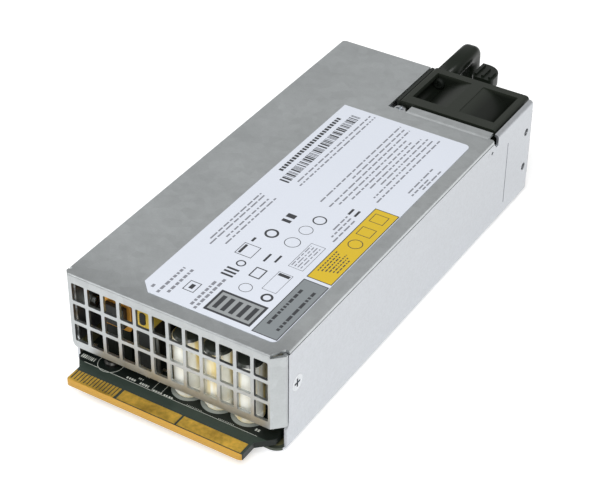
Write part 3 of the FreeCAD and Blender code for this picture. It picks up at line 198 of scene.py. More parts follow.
# ---- tray -------------------------------------------------------------------
# Floor and side walls of the case, folded from one sheet of the same steel.  The
# front of the floor, where it shows below the board, is painted dark olive and not metallic.
def box_mm(piece):
    """The lowest and highest corners of one of the frame's solids, in millimetres."""
    return tuple(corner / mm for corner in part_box(piece))


def opened(material):
    """A finish's node tree, its shader's inputs and its grained colour, for more to be laid over it."""
    tree = material.node_tree
    return tree, tree.nodes["Principled BSDF"].inputs, tree.nodes["grain"].outputs["Color"]


def build_zone():
    """A mask that is 1 between two corners and fades to 0 towards each side."""
    group, given, made = shared_effect(
        "zone",
        (("Low", "Vector", (0.0, 0.0, 0.0)), ("High", "Vector", (1.0, 1.0, 1.0)), ("Fade", "Float", 1.0)),
        (("Mask", "Float"),))
    vector_sum = "ShaderNodeVectorMath"
    past_low = combine(group, "SUBTRACT", place_on(group), given["Low"], vector_sum)
    short_of_high = combine(group, "SUBTRACT", given["High"], place_on(group), vector_sum)
    depth = combine(group, "MINIMUM", past_low, short_of_high, vector_sum)
    faded = combine(group, "DIVIDE", depth, given["Fade"], vector_sum)
    capped = combine(group, "MINIMUM", faded, (1.0, 1.0, 1.0), vector_sum)
    inside = group.nodes.new("ShaderNodeSeparateXYZ")
    group.links.new(combine(group, "MAXIMUM", capped, (0.0, 0.0, 0.0), vector_sum), inside.inputs[0])
    level = combine(group, "MULTIPLY", inside.outputs["X"], inside.outputs["Y"])
    group.links.new(combine(group, "MULTIPLY", level, inside.outputs["Z"]), made["Mask"])
    return group


zone = build_zone()
# In millimetres: further than the part reaches, and a fade too short to see.
far = 1000.0
sharp = 0.001


def add_zone(tree, left=-far, right=far, front=-far, back=far, bottom=-far, top=far, fade=sharp):
    """Places a zone on a material; its sides and its fade are in millimetres."""
    low = tuple(side * mm for side in (left, front, bottom))
    high = tuple(side * mm for side in (right, back, top))
    return place_effect(tree, zone, {"Low": low, "High": high, "Fade": fade * mm}).outputs["Mask"]


tray_low, tray_high = box_mm("base_tray")
wall_inset = 1.0
dark_front_side = tray_high.x - wall_inset
dark_front_length = 12.0
dark_front_bottom = 0.03
dark_front_top = 1.1
dark_front_colour = tint(62, 68, 58)
darkened_tray = tray_steel.copy()
darkened_tray.name = "darkened_tray"
tree, shader, bare_sheet = opened(darkened_tray)
# The front of the floor below the board is painted dark olive and not metallic.
dark_front = add_zone(tree, left=-dark_front_side, right=dark_front_side, back=tray_low.y + dark_front_length, bottom=dark_front_bottom,
                top=dark_front_top)
tree.links.new(mix_colours(tree, "MIX", dark_front, bare_sheet, dark_front_colour), shader["Base Color"])
tree.links.new(combine(tree, "SUBTRACT", 1.0, dark_front), shader["Metallic"])
paint(darkened_tray, "base_tray")


# ---- insulating film --------------------------------------------------------
# A thin olive plastic film, die cut and turned up at its sides.  It lies on the
# tray's floor and keeps the board's leads off the steel.
insulator_film = finish("insulator_film", tint(88, 86, 58), 0.35, shade=0.15, patch_scale=80.0,
                        grain_scale=900.0)
paint(insulator_film, "insulator_sheet")


# ---- case fixings and standoffs ---------------------------------------------
# Screws and the lever's pin are bright zinc-plated steel, cold formed or turned.
# The standoffs and clinch nuts pressed into the tray, and the sense post on the
# board, have a duller plating.
plated_steel = finish("plated_steel", tint(208, 211, 214), 0.25, metallic=1.0, shade=0.15, gloss_spread=0.15,
                      patch_scale=300.0, grain_scale=2500.0)
paint(plated_steel, "side_screws", "cutout_screw", "lever_pin")
dull_steel = finish("dull_steel", tint(118, 120, 116), 0.42, metallic=1.0, shade=0.25, gloss_spread=0.2,
                    patch_scale=500.0, grain_scale=2500.0)
paint(dull_steel, "board_standoffs", "side_nuts", "sense_post")


# ---- main circuit board -----------------------------------------------------
# Glass-fibre laminate under a dark solder mask, paler over the copper behind the
# contacts and cut back from the milled front edge, where the tan laminate shows.
# White legend ink marks the parts, and dark nickel pan-head screws hold it down.
board_low, board_high = box_mm("main_board")
board_front = board_low.y
board_top = board_high.z
copper_back = 10.65
copper_lift = (4.6, 4.4, 4.3, 1.0)
mask_depth = 0.05
bare_edge = 1.05
bare_laminate = tint(190, 146, 60)
circuit_board = finish("circuit_board", tint(20, 26, 23), 0.32, shine=0.25, shade=0.3, patch_scale=200.0,
                       grain_scale=1200.0)
tree, shader, solder_mask = opened(circuit_board)
over_copper = add_zone(tree, back=board_front + copper_back, bottom=board_top - mask_depth)
masked = mix_colours(tree, "MULTIPLY", over_copper, solder_mask, copper_lift)
milled = add_zone(tree, back=board_front + bare_edge)
tree.links.new(mix_colours(tree, "MIX", milled, masked, bare_laminate), shader["Base Color"])
paint(circuit_board, "main_board", "control_board")
dark_nickel = finish("dark_nickel", tint(66, 66, 64), 0.34, metallic=0.9, shade=0.2, gloss_spread=0.2,
                     patch_scale=600.0)
paint(dark_nickel, "board_screws")


def lay_points(shapes, outline, height):
    """An outline's points, in millimetres, laid flat at one height."""
    return [shapes.verts.new((x * mm, y * mm, height * mm)) for x, y in outline]


def join_up(shapes, lower, upper):
    """Walls between two closed loops of points of the same length."""
    for index, corner in enumerate(lower):
        after = (index + 1) % len(lower)
        shapes.faces.new((corner, lower[after], upper[after], upper[index]))


def add_plate(shapes, outline, low, high):
    """A closed flat plate with the given outline, between two heights."""
    lower = lay_points(shapes, outline, low)
    upper = lay_points(shapes, outline, high)
    shapes.faces.new(lower[::-1])
    shapes.faces.new(upper)
    join_up(shapes, lower, upper)


def add_ring(shapes, outer, inner, low, high):
    """A closed flat frame between two outlines with the same number of points."""
    loops = [lay_points(shapes, outline, height)
             for outline, height in ((outer, low), (outer, high), (inner, high), (inner, low))]
    for first, second in zip(loops, loops[1:] + loops[:1]):
        join_up(shapes, first, second)


def rectangle(left, front, right, back):
    """The four corners of a rectangle that lies square to the case."""
    return [(left, front), (right, front), (right, back), (left, back)]


def arc(x, y, radius, start=0.0, sweep=360.0, steps=32):
    """Points along an arc, angles in degrees; a full turn doesn't repeat its first point."""
    spans = steps if sweep == 360.0 else steps - 1
    turns = [math.radians(start + sweep * step / spans) for step in range(steps)]
    return [(x + radius * math.cos(turn), y + radius * math.sin(turn)) for turn in turns]


def add_outline(shapes, left, front, right, back, line, low, high):
    """A rectangular frame drawn with a line of the given width."""
    add_ring(shapes, rectangle(left, front, right, back),
             rectangle(left + line, front + line, right - line, back - line), low, high)


def make_piece(name, shapes, material, smooth=False):
    """Turns the gathered shapes into a piece that rides on the power supply."""
    bmesh.ops.recalc_face_normals(shapes, faces=shapes.faces)
    mesh = bpy.data.meshes.new(name)
    shapes.to_mesh(mesh)
    shapes.free()
    mesh.materials.append(material)
    for face in mesh.polygons:
        face.use_smooth = smooth
    piece = bpy.data.objects.new(name, mesh)
    bpy.context.scene.collection.objects.link(piece)
    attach(piece, "power_supply")
    return piece


legend_ink = finish("legend_ink", tint(196, 200, 192), 0.5, shade=0.3, patch_scale=400.0, grain_scale=3000.0)
ink_low = board_top - 0.01
ink_high = board_top + 0.02
legend = bmesh.new()


def mark_board(left, front, right, back):
    """A block of legend ink, placed from the board's middle line and its front edge."""
    add_plate(legend, rectangle(left, board_front + front, right, board_front + back), ink_low, ink_high)


# One long line, thick then thin, with a ring round a screw and a frame behind it.
legend_line = 10.6
line_break = -8.4
thick_line = 0.16
thin_line = 0.12
mark_board(-35.2, legend_line, line_break, legend_line + thick_line)
mark_board(line_break, legend_line, 33.2, legend_line + thin_line)
screw_middle = (-27.1, board_front + 14.6)
ring_outer = arc(*screw_middle, radius=4.6)
ring_inner = arc(*screw_middle, radius=4.42)
add_ring(legend, ring_outer, ring_inner, ink_low, ink_high)
frame_front = board_front + legend_line + 0.5
frame_back = frame_front + 6.1
frame_line = 0.15
add_outline(legend, -8.1, frame_front, -4.4, frame_back, frame_line, ink_low, ink_high)
# Blocks of short strokes, each given by its left, front, right and back sides.
stroke_draws = random.Random(7)
for left, front, right, back in ((-38.0, 12.2, -32.6, 13.9), (-18.6, 11.4, -15.6, 12.3),
                                 (-14.9, 13.2, -13.0, 13.9), (-13.2, 11.2, -9.8, 12.2),
                                 (-21.0, 15.6, -17.6, 16.5), (31.0, 12.6, 32.4, 13.7)):
    along = left
    while along < right:
        stroke = stroke_draws.uniform(0.25, 0.7)
        mark_board(along, front, along + stroke, back)
        along += stroke + stroke_draws.uniform(0.25, 0.5)
# Pairs of small blocks and two dotted rows behind the line.
block_front = legend_line + 0.25
block_back = legend_line + 0.9
block_width = 0.6
block_pitch = 0.9
for start in (-7.5, -5.6, -3.3, -1.3):
    for left in (start, start + block_pitch):
        mark_board(left, block_front, left + block_width, block_back)
dot_front = legend_line + 0.45
dot_back = legend_line + 0.7
dot_width = 0.22
dot_pitch = 0.62
for start, stop in ((5.9, 11.8), (18.2, 24.1)):
    along = start
    while along < stop:
        mark_board(along, dot_front, along + dot_width, dot_back)
        along += dot_pitch
make_piece("board_legend", legend, legend_ink)


# ---- surface parts on the board ---------------------------------------------
# Chip resistors and capacitors soldered behind the tongue: pale ceramic bodies
# with tinned ends, set by machine in short rows.
chip_body = finish("chip_body", tint(92, 84, 66), 0.4, shade=0.3)
tinned_end = finish("tinned_end", tint(190, 190, 186), 0.35, metallic=0.9, shade=0.2)
body_half_length = 0.5
body_half_width = 0.38
body_height = 0.42
end_length = 0.3
end_half_width = 0.4
end_height = 0.45
chip_ends = bmesh.new()
chip_bodies = bmesh.new()
for x, inward in ((-20.2, 18.4), (-18.0, 19.2), (-12.6, 15.6), (-11.4, 17.4), (-6.4, 16.4), (-6.4, 18.2),
                  (-2.8, 20.6), (-9.8, 21.2), (-37.2, 17.6), (-37.2, 19.4), (33.6, 16.2), (35.2, 16.2)):
    y = board_front + inward
    left = x - body_half_length
    right = x + body_half_length
    add_plate(chip_bodies, rectangle(left, y - body_half_width, right, y + body_half_width), board_top,
              board_top + body_height)
    for start in (left - end_length, right):
        add_plate(chip_ends, rectangle(start, y - end_half_width, start + end_length, y + end_half_width),
                  board_top, board_top + end_height)
make_piece("chip_bodies", chip_bodies, chip_body)
make_piece("chip_ends", chip_ends, tinned_end)


# ---- gold contacts ----------------------------------------------------------
# Signal and power contacts on both faces of the tongue: copper tracks plated
# with nickel and gold, slightly cloudy where they have been wiped.
gold_plating = finish("gold_plating", tint(212, 171, 70), 0.4, metallic=0.7, shade=1.0, gloss_spread=0.3,
                      patch_scale=130.0, grain_scale=700.0)
paint(gold_plating, "signal_contacts", "power_contacts")


# ---- output capacitors ------------------------------------------------------
# Rolled aluminium cans in shiny white sleeves with random upright yellow streaks, their
# tops painted dark grey as painted shade from the cover.  They stand on cream moulded
# seats, soldered through the board, and a printed crescent lies in front of each seat of the first row.
sleeve = finish("capacitor_sleeve", tint(250, 250, 240), 0.24, patch_scale=150.0, grain_scale=900.0)
tree, shader, plain_sleeve = opened(sleeve)
streak_scale = 330.0
streak_stretch = (1.0, 1.0, 0.12)
stretch = tree.nodes.new("ShaderNodeMapping")
stretch.inputs["Scale"].default_value = streak_stretch
tree.links.new(place_on(tree), stretch.inputs["Vector"])
streaks = cloud(tree, stretch.outputs["Vector"], streak_scale, detail=3.0)
# Random upright yellow streaks laid over the white sleeve.
streak_share = tree.nodes.new("ShaderNodeMapRange")
streak_share.inputs["From Min"].default_value = 0.47
streak_share.inputs["From Max"].default_value = 0.66
streak_share.inputs["To Max"].default_value = 0.8
tree.links.new(streaks, streak_share.inputs["Value"])
streak_yellow = tint(246, 216, 120)
streaked_sleeve = mix_colours(tree, "MULTIPLY", streak_share.outputs["Result"], plain_sleeve, streak_yellow)
can_top = box_mm("output_capacitors")[1].z
shaded_top_height = 0.75
painted_top_shade = tint(62, 66, 60)
# Painted shade: the top of each can is painted dark grey, as the cover above shades it.
shaded_top = add_zone(tree, bottom=can_top - shaded_top_height)
tree.links.new(mix_colours(tree, "MIX", shaded_top, streaked_sleeve, painted_top_shade), shader["Base Color"])
paint(sleeve, "output_capacitors")
paint(finish("seat_moulding", tint(238, 230, 200), 0.45), "capacitor_seats")
seat_low, seat_high = box_mm("capacitor_seats")
seat_middle = 4.55
seat_reach = 4.7
crescent_width = 1.5
first_seat = seat_low.x + seat_middle
seat_pitch = (seat_high.x - seat_middle - first_seat) / 2
seat_marks = bmesh.new()
for column in range(3):
    middle = (first_seat + seat_pitch * column, seat_low.y + seat_middle)
    outer = arc(*middle, seat_reach + crescent_width, start=200.0, sweep=140.0, steps=20)
    inner = arc(*middle, seat_reach, start=340.0, sweep=-140.0, steps=20)
    add_plate(seat_marks, outer + inner, ink_low, ink_high)
seat_ink = finish("seat_ink", tint(146, 152, 148), 0.5, shade=0.2)
make_piece("seat_marks", seat_marks, seat_ink)


# ---- chokes and transformers ------------------------------------------------
# Pressed ferrite cores, dull black, wound with flat and round enamelled copper.
# Yellow polyester tape wraps the transformers' windings, and the output choke
# is clipped to a moulded base.
ferrite = finish("ferrite", tint(38, 40, 38), 0.55, shade=0.2)
paint(ferrite, "choke_core", "transformer_core", "filter_choke_core", "drive_core")
copper = finish("copper", tint(226, 164, 72), 0.3, metallic=0.75, shade=0.3, gloss_spread=0.15,
                patch_scale=200.0)
paint(copper, "choke_winding", "filter_choke_winding")
yellow_tape = finish("yellow_tape", tint(240, 206, 84), 0.28, shade=0.15)
paint(yellow_tape, "transformer_winding", "drive_winding")
black_moulding = finish("black_moulding", tint(22, 26, 21), 0.42, shine=0.22, shade=0.35, gloss_spread=0.14,
                        patch_scale=110.0, grain_scale=2200.0, grain_depth=0.04, grain_strength=0.45)
paint(black_moulding, "choke_base")


# ---- heat sinks and what they cool ------------------------------------------
# Extruded aluminium plates, cut to length and left bare.  Transistors, rectifier
# and chips in moulded black packages stand against them and on the boards.
bare_aluminium = finish("bare_aluminium", tint(196, 198, 200), 0.35, metallic=1.0)
paint(bare_aluminium, "heat_sinks")
paint(black_moulding, "power_transistors", "control_chips", "rectifier_bridge")


# ---- mains side of the board ------------------------------------------------
# The bulk capacitor is an aluminium can in a shrunk black sleeve, the filter
# capacitors are potted in yellow boxes and the fuse has a white sleeve.
paint(finish("black_sleeve", tint(40, 42, 46), 0.28), "bulk_capacitor")
paint(finish("yellow_moulding", tint(216, 176, 60), 0.3), "filter_capacitors")
paint(finish("white_sleeve", tint(226, 226, 220), 0.4), "mains_fuse")


# ---- mains inlet ------------------------------------------------------------
# A moulded black inlet fixed in the rear panel, with three brass pins plated with
# nickel.
paint(black_moulding, "inlet_housing")
paint(finish("plated_brass", tint(206, 202, 188), 0.25, metallic=1.0), "inlet_pins")


# ---- status light -----------------------------------------------------------
# A moulded light pipe of clear plastic, pale green where it comes through the
# rear panel.
paint(finish("clear_lens", tint(196, 226, 196), 0.15), "status_light")


# ---- fan --------------------------------------------------------------------
# Frame and wheel moulded in black glass-filled plastic.  The frame's top is painted
# paler as painted light, and its deeper faces stay darker as painted shade.  A ground
# steel shaft turns in two ball bearings inside a wound stator, behind a stamped black
# guard, and foam tape fills the gap beside the frame.
fan_low, fan_high = box_mm("fan_frame")
lit_top_depth = 1.6
lit_top_fade = 1.4
lit_top_share = 0.4
painted_top_light = tint(54, 59, 51)
lit_top_moulding = finish("lit_top_moulding", tint(21, 25, 20), 0.4, shine=0.25, shade=0.35, gloss_spread=0.14,
                         patch_scale=110.0, grain_scale=2200.0, grain_depth=0.04, grain_strength=0.45)
tree, shader, unlit_moulding = opened(lit_top_moulding)
# Painted light: the frame's top few millimetres are blended towards a paler colour, and the recesses below
# stay darker as painted shade.
lit_top = add_zone(tree, bottom=fan_high.z - lit_top_depth, fade=lit_top_fade)
top_light = combine(tree, "MULTIPLY", lit_top, lit_top_share)
tree.links.new(mix_colours(tree, "MIX", top_light, unlit_moulding, painted_top_light), shader["Base Color"])
paint(lit_top_moulding, "fan_frame")
paint(black_moulding, "fan_rotor")
ground_steel = finish("ground_steel", tint(200, 200, 202), 0.2, metallic=1.0)
paint(ground_steel, "fan_shaft", "fan_bearings", "lever_spring")
paint(finish("magnet", tint(70, 70, 70), 0.5), "fan_magnet")
paint(finish("lamination", tint(140, 140, 142), 0.4, metallic=1.0), "fan_stator")
paint(finish("black_steel", tint(36, 38, 36), 0.38, shade=0.2), "fan_guard")
paint(finish("black_screw", tint(22, 26, 22), 0.6, shine=0.15, shade=0.2), "fan_screws", "handle_screws")
foam_tape = finish("foam_tape", tint(38, 42, 38), 0.85, shade=0.4, patch_scale=500.0, grain_scale=2500.0,
                   grain_depth=0.1, grain_strength=0.8)
foam_left = fan_low.x - 1.15
foam_front = fan_low.y + 0.6
foam_back = fan_high.y - 0.1
foam_bottom = 2.0
foam_top = 39.5
foam = bmesh.new()
add_plate(foam, rectangle(foam_left, foam_front, fan_low.x, foam_back), foam_bottom, foam_top)
make_piece("foam_strip", foam, foam_tape)


# ---- handle and release lever -----------------------------------------------
# Semi-gloss black mouldings, with the soft uneven sheen of a worn grip.  The
# handle is one closed loop with fully rounded rims on a thin foot plate, and its
# screws pass through the fan.
black_gloss = finish("black_gloss", tint(26, 31, 25), 0.3, shine=0.2, shade=0.3, gloss_spread=0.22,
                     patch_scale=130.0)
paint(black_gloss, "release_lever")
handle_low, handle_high = box_mm("pull_handle")
# The loop is this much wider, longer and higher than the handle's solid.
wider = 0.2
longer = 1.2
higher = 1.0
loop_left = handle_low.x - wider
loop_right = handle_high.x
loop_start = handle_low.y
loop_end = handle_high.y + longer
loop_bottom = handle_low.z
loop_top = handle_high.z + higher
loop_bar = 6.2
outer_bend = 5.0
inner_bend = 2.4
bend_steps = 9
rim_radius = 2.5
rim_steps = 5
foot_depth = 2.4
foot_inset = 0.1
foot_overlap = 0.6
handle = bmesh.new()


def add_upright(shapes, outline, left, right):
    """A closed plate that stands on edge: its outline goes back and up, between a left and a right side."""
    sides = [[shapes.verts.new((x * mm, y * mm, z * mm)) for y, z in outline] for x in (left, right)]
    join_up(shapes, *sides)
    for side in sides:
        shapes.faces.new(side)


inner_end = loop_end - loop_bar - inner_bend
loop = [(loop_start, loop_bottom)]
loop += arc(loop_end - outer_bend, loop_bottom + outer_bend, outer_bend, 270.0, 90.0, bend_steps)
loop += arc(loop_end - outer_bend, loop_top - outer_bend, outer_bend, 0.0, 90.0, bend_steps)
loop += [(loop_start, loop_top), (loop_start, loop_top - loop_bar)]
loop += arc(inner_end, loop_top - loop_bar - inner_bend, inner_bend, 90.0, -90.0, bend_steps)
loop += arc(inner_end, loop_bottom + loop_bar + inner_bend, inner_bend, 0.0, -90.0, bend_steps)
loop += [(loop_start, loop_bottom + loop_bar)]
add_upright(handle, loop, loop_left, loop_right)
bmesh.ops.recalc_face_normals(handle, faces=handle.faces)
# The rims are all edges that lie in a side, apart from those against the guard.
small = 0.01 * mm
against_guard = (loop_start + 0.1) * mm
rims = [edge for edge in handle.edges
        if abs(edge.verts[0].co.x - edge.verts[1].co.x) < small
        and (edge.verts[0].co.y + edge.verts[1].co.y) / 2 > against_guard]
bmesh.ops.bevel(handle, geom=rims, offset=rim_radius * mm, offset_type="OFFSET", segments=rim_steps,
                profile=0.5, affect="EDGES", clamp_overlap=True)
foot = rectangle(loop_start, loop_bottom + loop_bar - foot_overlap, loop_start + foot_depth,
                 loop_top - loop_bar + foot_overlap)
add_upright(handle, foot, loop_left + foot_inset, loop_right - foot_inset)
grip = make_piece("handle_loop", handle, black_gloss, smooth=True)
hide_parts("pull_handle")


# ---- cover ------------------------------------------------------------------
# Top and vented front, punched and folded from one sheet of galvanised steel.
# The zinc has a faint spangle and soft clouds, and the front and the top's
# first strip behind it are painted darker as painted shade.
galvanised_steel = finish("galvanised_steel", tint(198, 202, 203), 0.42, metallic=1.0, shade=0.16,
                          gloss_spread=0.18, patch_scale=300.0)
spangle_scale = 260.0
spangle_reach = 0.07
cloud_scale = 34.0
cloud_reach = 0.3
front_shade_level = 0.83
front_shade_depth = 4.0
front_shade_fade = 12.0
tree, shader, zinc = opened(galvanised_steel)
spangle = tree.nodes.new("ShaderNodeTexVoronoi")
spangle.inputs["Scale"].default_value = spangle_scale
tree.links.new(place_on(tree), spangle.inputs["Vector"])
flake = tree.nodes.new("ShaderNodeSeparateColor")
tree.links.new(spangle.outputs["Color"], flake.inputs[0])
mottle = combine(tree, "ADD", swing(tree, flake.outputs[0], spangle_reach),
                 swing(tree, cloud(tree, place_on(tree), cloud_scale, detail=4.0), cloud_reach))
cover_front = box_mm("top_cover")[0].y
# Painted shade: the front face and the first few millimetres of the top are darkened, fading out further
# back.
past_front_shade = add_zone(tree, front=cover_front + front_shade_depth, fade=front_shade_fade)
front_shading = combine(tree, "ADD", combine(tree, "MULTIPLY", past_front_shade, 1.0 - front_shade_level), front_shade_level)
level = combine(tree, "ADD", mottle, front_shading)
tree.links.new(mix_colours(tree, "MULTIPLY", 1.0, zinc, grey_of(tree, level)), shader["Base Color"])
paint(galvanised_steel, "top_cover")


# ---- rating label -----------------------------------------------------------
# A white film stuck on the cover, printed with rows of plain dashes, rings,
# frames, a bar strip and two coloured fields.  The ink is a skin a few
# hundredths of a millimetre thick.
label_film = finish("label_film", tint(217, 222, 232), 0.45, shade=0.03, gloss_spread=0.05, patch_scale=40.0)
paint(label_film, "rating_label")
label_low, label_high = box_mm("rating_label")
print_low = label_high.z - 0.005
field_high = label_high.z + 0.012
print_high = label_high.z + 0.022
print_draws = random.Random(11)
dark_print = bmesh.new()
grey_print = bmesh.new()


def on_label(across, along, wide, long):
    """A block's sides, when it is placed from the label's front left corner."""
    left = label_low.x + across
    front = label_low.y + along
    return left, front, left + wide, front + long


def print_block(shapes, across, along, wide, long, high=print_high):
    """A solid block of ink."""
    add_plate(shapes, rectangle(*on_label(across, along, wide, long)), print_low, high)


def print_frame(across, along, wide, long, line):
    """A dark frame with a line of the given width."""
    add_outline(dark_print, *on_label(across, along, wide, long), line, print_low, print_high)


def print_field(name, colour, across, along, wide, long):
    """A coloured block inside a dark border line."""
    border = 0.32
    block = bmesh.new()
    print_block(block, across, along, wide, long, field_high)
    field_ink = finish(name, colour, 0.42, shade=0.05, gloss_spread=0.05)
    make_piece(name, block, field_ink)
    print_frame(across, along, wide, long, border)


def print_row(shapes, across, start, stop, height, shortest, longest, gap):
    """One row of plain dashes along the label, as long and as broken as a line of print."""
    least_dash = 0.3
    along = start
    while along < stop:
        dash = min(print_draws.uniform(shortest, longest), stop - along)
        if dash > least_dash:
            print_block(shapes, across, along, height, dash)
        along += dash + gap


print_field("yellow_field", tint(212, 180, 34), across=42.6, along=33.8, wide=9.4, long=44.8)
print_field("grey_field", tint(130, 136, 139), across=42.6, along=1.2, wide=9.4, long=31.2)
# The bar strip, with a row of short bold blocks beside it.
strip_across = 5.8
strip_wide = 3.8
strip_end = 125.6
along = 75.6
while along < strip_end:
    bar = print_draws.choice((0.28, 0.28, 0.55, 0.85))
    print_block(dark_print, strip_across, along, strip_wide, bar)
    along += bar + print_draws.choice((0.3, 0.3, 0.5, 0.8))
print_row(dark_print, 2.2, 80.8, 121.4, height=1.7, shortest=1.05, longest=1.25, gap=0.55)
# Rows of small print, beside the bars, in the ratings block and at the right edge: across, start, stop.
for across, start, stop in ((11.6, 78.0, 128.4), (13.5, 76.4, 128.6), (24.5, 72.0, 128.0),
                            (26.6, 90.0, 127.0), (28.6, 71.0, 127.4), (30.7, 74.0, 121.0),
                            (32.8, 79.0, 121.0), (34.8, 88.0, 124.6), (36.8, 92.0, 126.0),
                            (38.8, 83.6, 126.4), (41.0, 81.8, 127.2), (47.4, 92.4, 110.0),
                            (49.2, 91.6, 103.4), (50.5, 97.0, 110.2), (4.6, 34.4, 65.4), (6.2, 31.8, 65.0),
                            (8.6, 38.0, 64.6), (10.5, 34.6, 65.6), (36.6, 60.2, 69.4), (38.2, 56.4, 69.0),
                            (40.0, 54.4, 68.4)):
    print_row(grey_print, across, start, stop, height=0.62, shortest=0.9, longest=4.2, gap=0.75)
# Larger rows at the front left corner.
for across, start, stop in ((20.9, 0.9, 19.0), (18.9, 2.0, 16.6), (9.2, 3.2, 17.2), (6.3, 1.4, 16.8),
                            (3.2, 2.8, 4.4)):
    print_row(grey_print, across, start, stop, height=1.05, shortest=0.8, longest=2.2, gap=0.6)
# A plain badge: a dark border round a grey plate crossed by five equal bars.
badge_across = 23.6
badge_along = 2.4
badge_wide = 17.6
badge_long = 11.2
badge_line = 0.9
plate_inset = 0.8
first_bar = 2.0
bar_wide = 1.6
bar_pitch = 3.0
bar_inset = 2.2
print_frame(badge_across, badge_along, badge_wide, badge_long, badge_line)
plate = bmesh.new()
print_block(plate, badge_across + plate_inset, badge_along + plate_inset, badge_wide - 2 * plate_inset,
            badge_long - 2 * plate_inset, field_high)
make_piece("badge_plate", plate, finish("badge_grey", tint(150, 154, 156), 0.42, shade=0.05))
for bar in range(5):
    print_block(dark_print, badge_across + first_bar + bar_pitch * bar, badge_along + bar_inset, bar_wide,
                badge_long - 2 * bar_inset)
# Rings, each given by its middle across and along, its radius and its line.
for across, along, radius, line in ((20.6, 47.6, 2.5, 0.8), (29.1, 47.0, 2.8, 0.25), (30.3, 62.4, 2.5, 0.5),
                                    (29.3, 55.2, 2.5, 0.22), (21.0, 28.4, 1.7, 0.5), (29.3, 18.4, 2.3, 0.22),
                                    (37.9, 17.6, 2.1, 0.8), (47.2, 57.2, 2.6, 0.3)):
    middle = on_label(across, along, 0.0, 0.0)[:2]
    add_ring(dark_print, arc(*middle, radius), arc(*middle, radius - line), print_low, print_high)
# Frames, each given by its front left corner, its size and its line.
for across, along, wide, long, line in ((15.8, 32.2, 6.4, 6.6, 0.25), (12.4, 7.2, 4.3, 5.2, 0.28),
                                        (34.6, 35.4, 5.6, 14.6, 0.14), (33.8, 20.8, 5.4, 10.6, 0.14),
                                        (26.4, 24.2, 4.2, 5.4, 0.45), (44.2, 62.4, 5.4, 5.0, 0.25),
                                        (44.2, 71.0, 5.4, 5.0, 0.25)):
    print_frame(across, along, wide, long, line)
# Short blocks, each given by its front left corner and its size.
for across, along, wide, long in ((16.9, 40.4, 0.9, 2.4), (19.2, 55.6, 3.4, 1.5), (19.2, 58.4, 3.4, 2.2),
                                  (18.2, 20.4, 4.6, 0.9), (18.2, 22.2, 4.6, 0.9), (18.2, 24.0, 4.6, 0.9),
                                  (26.2, 33.2, 0.8, 4.6), (29.6, 34.6, 0.8, 4.2), (36.2, 70.6, 0.9, 3.6),
                                  (38.6, 70.6, 0.9, 3.6), (13.8, 8.6, 1.5, 2.4), (16.6, 33.0, 1.0, 5.0),
                                  (34.4, 29.4, 4.2, 1.4)):
    print_block(dark_print, across, along, wide, long)
# Fine rows inside one of the frames.
for across in (35.2, 36.35, 37.5, 38.65):
    print_row(grey_print, across, 36.4, 48.6, height=0.4, shortest=0.9, longest=4.2, gap=0.75)
# Rows on the yellow field and on the grey field.
for across, start, stop in ((43.9, 38.4, 50.6), (45.1, 38.8, 49.8), (46.3, 39.2, 49.0), (47.5, 39.6, 50.6),
                            (48.7, 40.0, 49.8), (49.9, 40.4, 49.0)):
    print_row(dark_print, across, start, stop, height=0.45, shortest=0.5, longest=1.6, gap=0.5)
for across, start, stop in ((44.6, 6.8, 27.0), (48.9, 5.4, 27.8)):
    print_row(dark_print, across, start, stop, height=1.1, shortest=0.8, longest=3.4, gap=0.6)
dark_ink = finish("dark_ink", tint(52, 54, 58), 0.4, shade=0.15, patch_scale=300.0)
grey_ink = finish("grey_ink", tint(132, 134, 142), 0.4, shade=0.15, patch_scale=300.0)
make_piece("label_dark_print", dark_print, dark_ink)
make_piece("label_grey_print", grey_print, grey_ink)


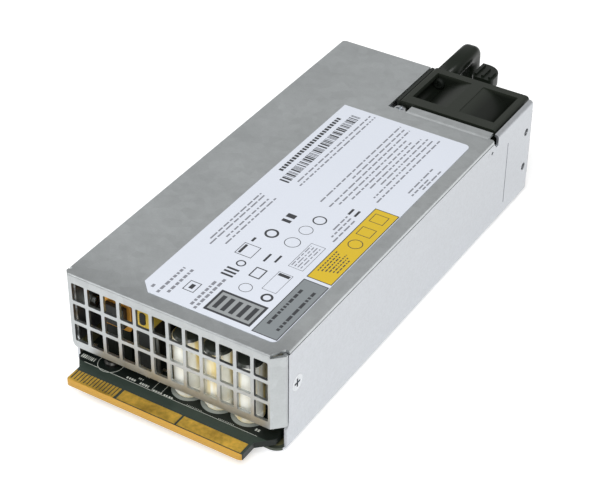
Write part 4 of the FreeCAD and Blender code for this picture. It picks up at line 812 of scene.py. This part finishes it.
# ---- floor, light and camera ------------------------------------------------
# A plain white floor that goes on past the view and looks white in reflections
# too, soft studio light from above and from the camera's side, and a long lens.
lowest_point = -1.5 * mm
floor_glow = 0.45
bpy.ops.mesh.primitive_plane_add(size=12.0, location=(0.0, 0.0, lowest_point))
floor = bpy.context.object
floor.name = "floor"
floor_paint = bpy.data.materials.new("floor")
floor_paint.use_nodes = True
tree = floor_paint.node_tree
shader = tree.nodes["Principled BSDF"].inputs
shader["Base Color"].default_value = (0.8, 0.8, 0.8, 1.0)
shader["Roughness"].default_value = 0.9
shader["Specular IOR Level"].default_value = 0.0
shader["Emission Color"].default_value = (1.0, 1.0, 1.0, 1.0)
rays = tree.nodes.new("ShaderNodeLightPath").outputs
through_glass = combine(tree, "MAXIMUM", rays["Is Glossy Ray"], rays["Is Transmission Ray"])
seen = combine(tree, "MAXIMUM", rays["Is Camera Ray"], through_glass)
tree.links.new(combine(tree, "MULTIPLY", seen, floor_glow), shader["Emission Strength"])
floor.data.materials.append(floor_paint)

studio = bpy.data.worlds.new("studio")
studio.use_nodes = True
bpy.context.scene.world = studio
sky = studio.node_tree.nodes["Background"].inputs
sky["Color"].default_value = (1.0, 1.0, 1.0, 1.0)
sky["Strength"].default_value = 0.55


def hang_lamp(name, place, size, power):
    """A soft square lamp, hung at a place in metres and aimed at the middle of the case."""
    case_middle = Vector((0.0, 0.0, 0.02))
    lamp = bpy.data.lights.new(name, "AREA")
    lamp.size = size
    lamp.energy = power
    holder = bpy.data.objects.new(name, lamp)
    bpy.context.scene.collection.objects.link(holder)
    holder.location = place
    holder.rotation_euler = (case_middle - Vector(place)).to_track_quat("-Z", "Y").to_euler()


hang_lamp("key", place=(0.5, -0.9, 1.3), size=0.8, power=14.0)
hang_lamp("fill", place=(-0.9, -0.5, 0.9), size=0.8, power=4.0)
hang_lamp("front", place=(0.1, -1.2, 0.3), size=0.5, power=2.0)

long_lens = bpy.data.cameras.new("camera")
long_lens.lens = 104.73
long_lens.sensor_width = 36.0
long_lens.clip_start = 0.01
camera = bpy.data.objects.new("camera", long_lens)
camera.location = (0.2574, -0.43046, 0.38218)
camera.rotation_euler = tuple(math.radians(turn) for turn in (53.3758, -0.3952, 31.7615))
bpy.context.scene.collection.objects.link(camera)
bpy.context.scene.camera = camera
bpy.context.scene.view_settings.view_transform = "Standard"
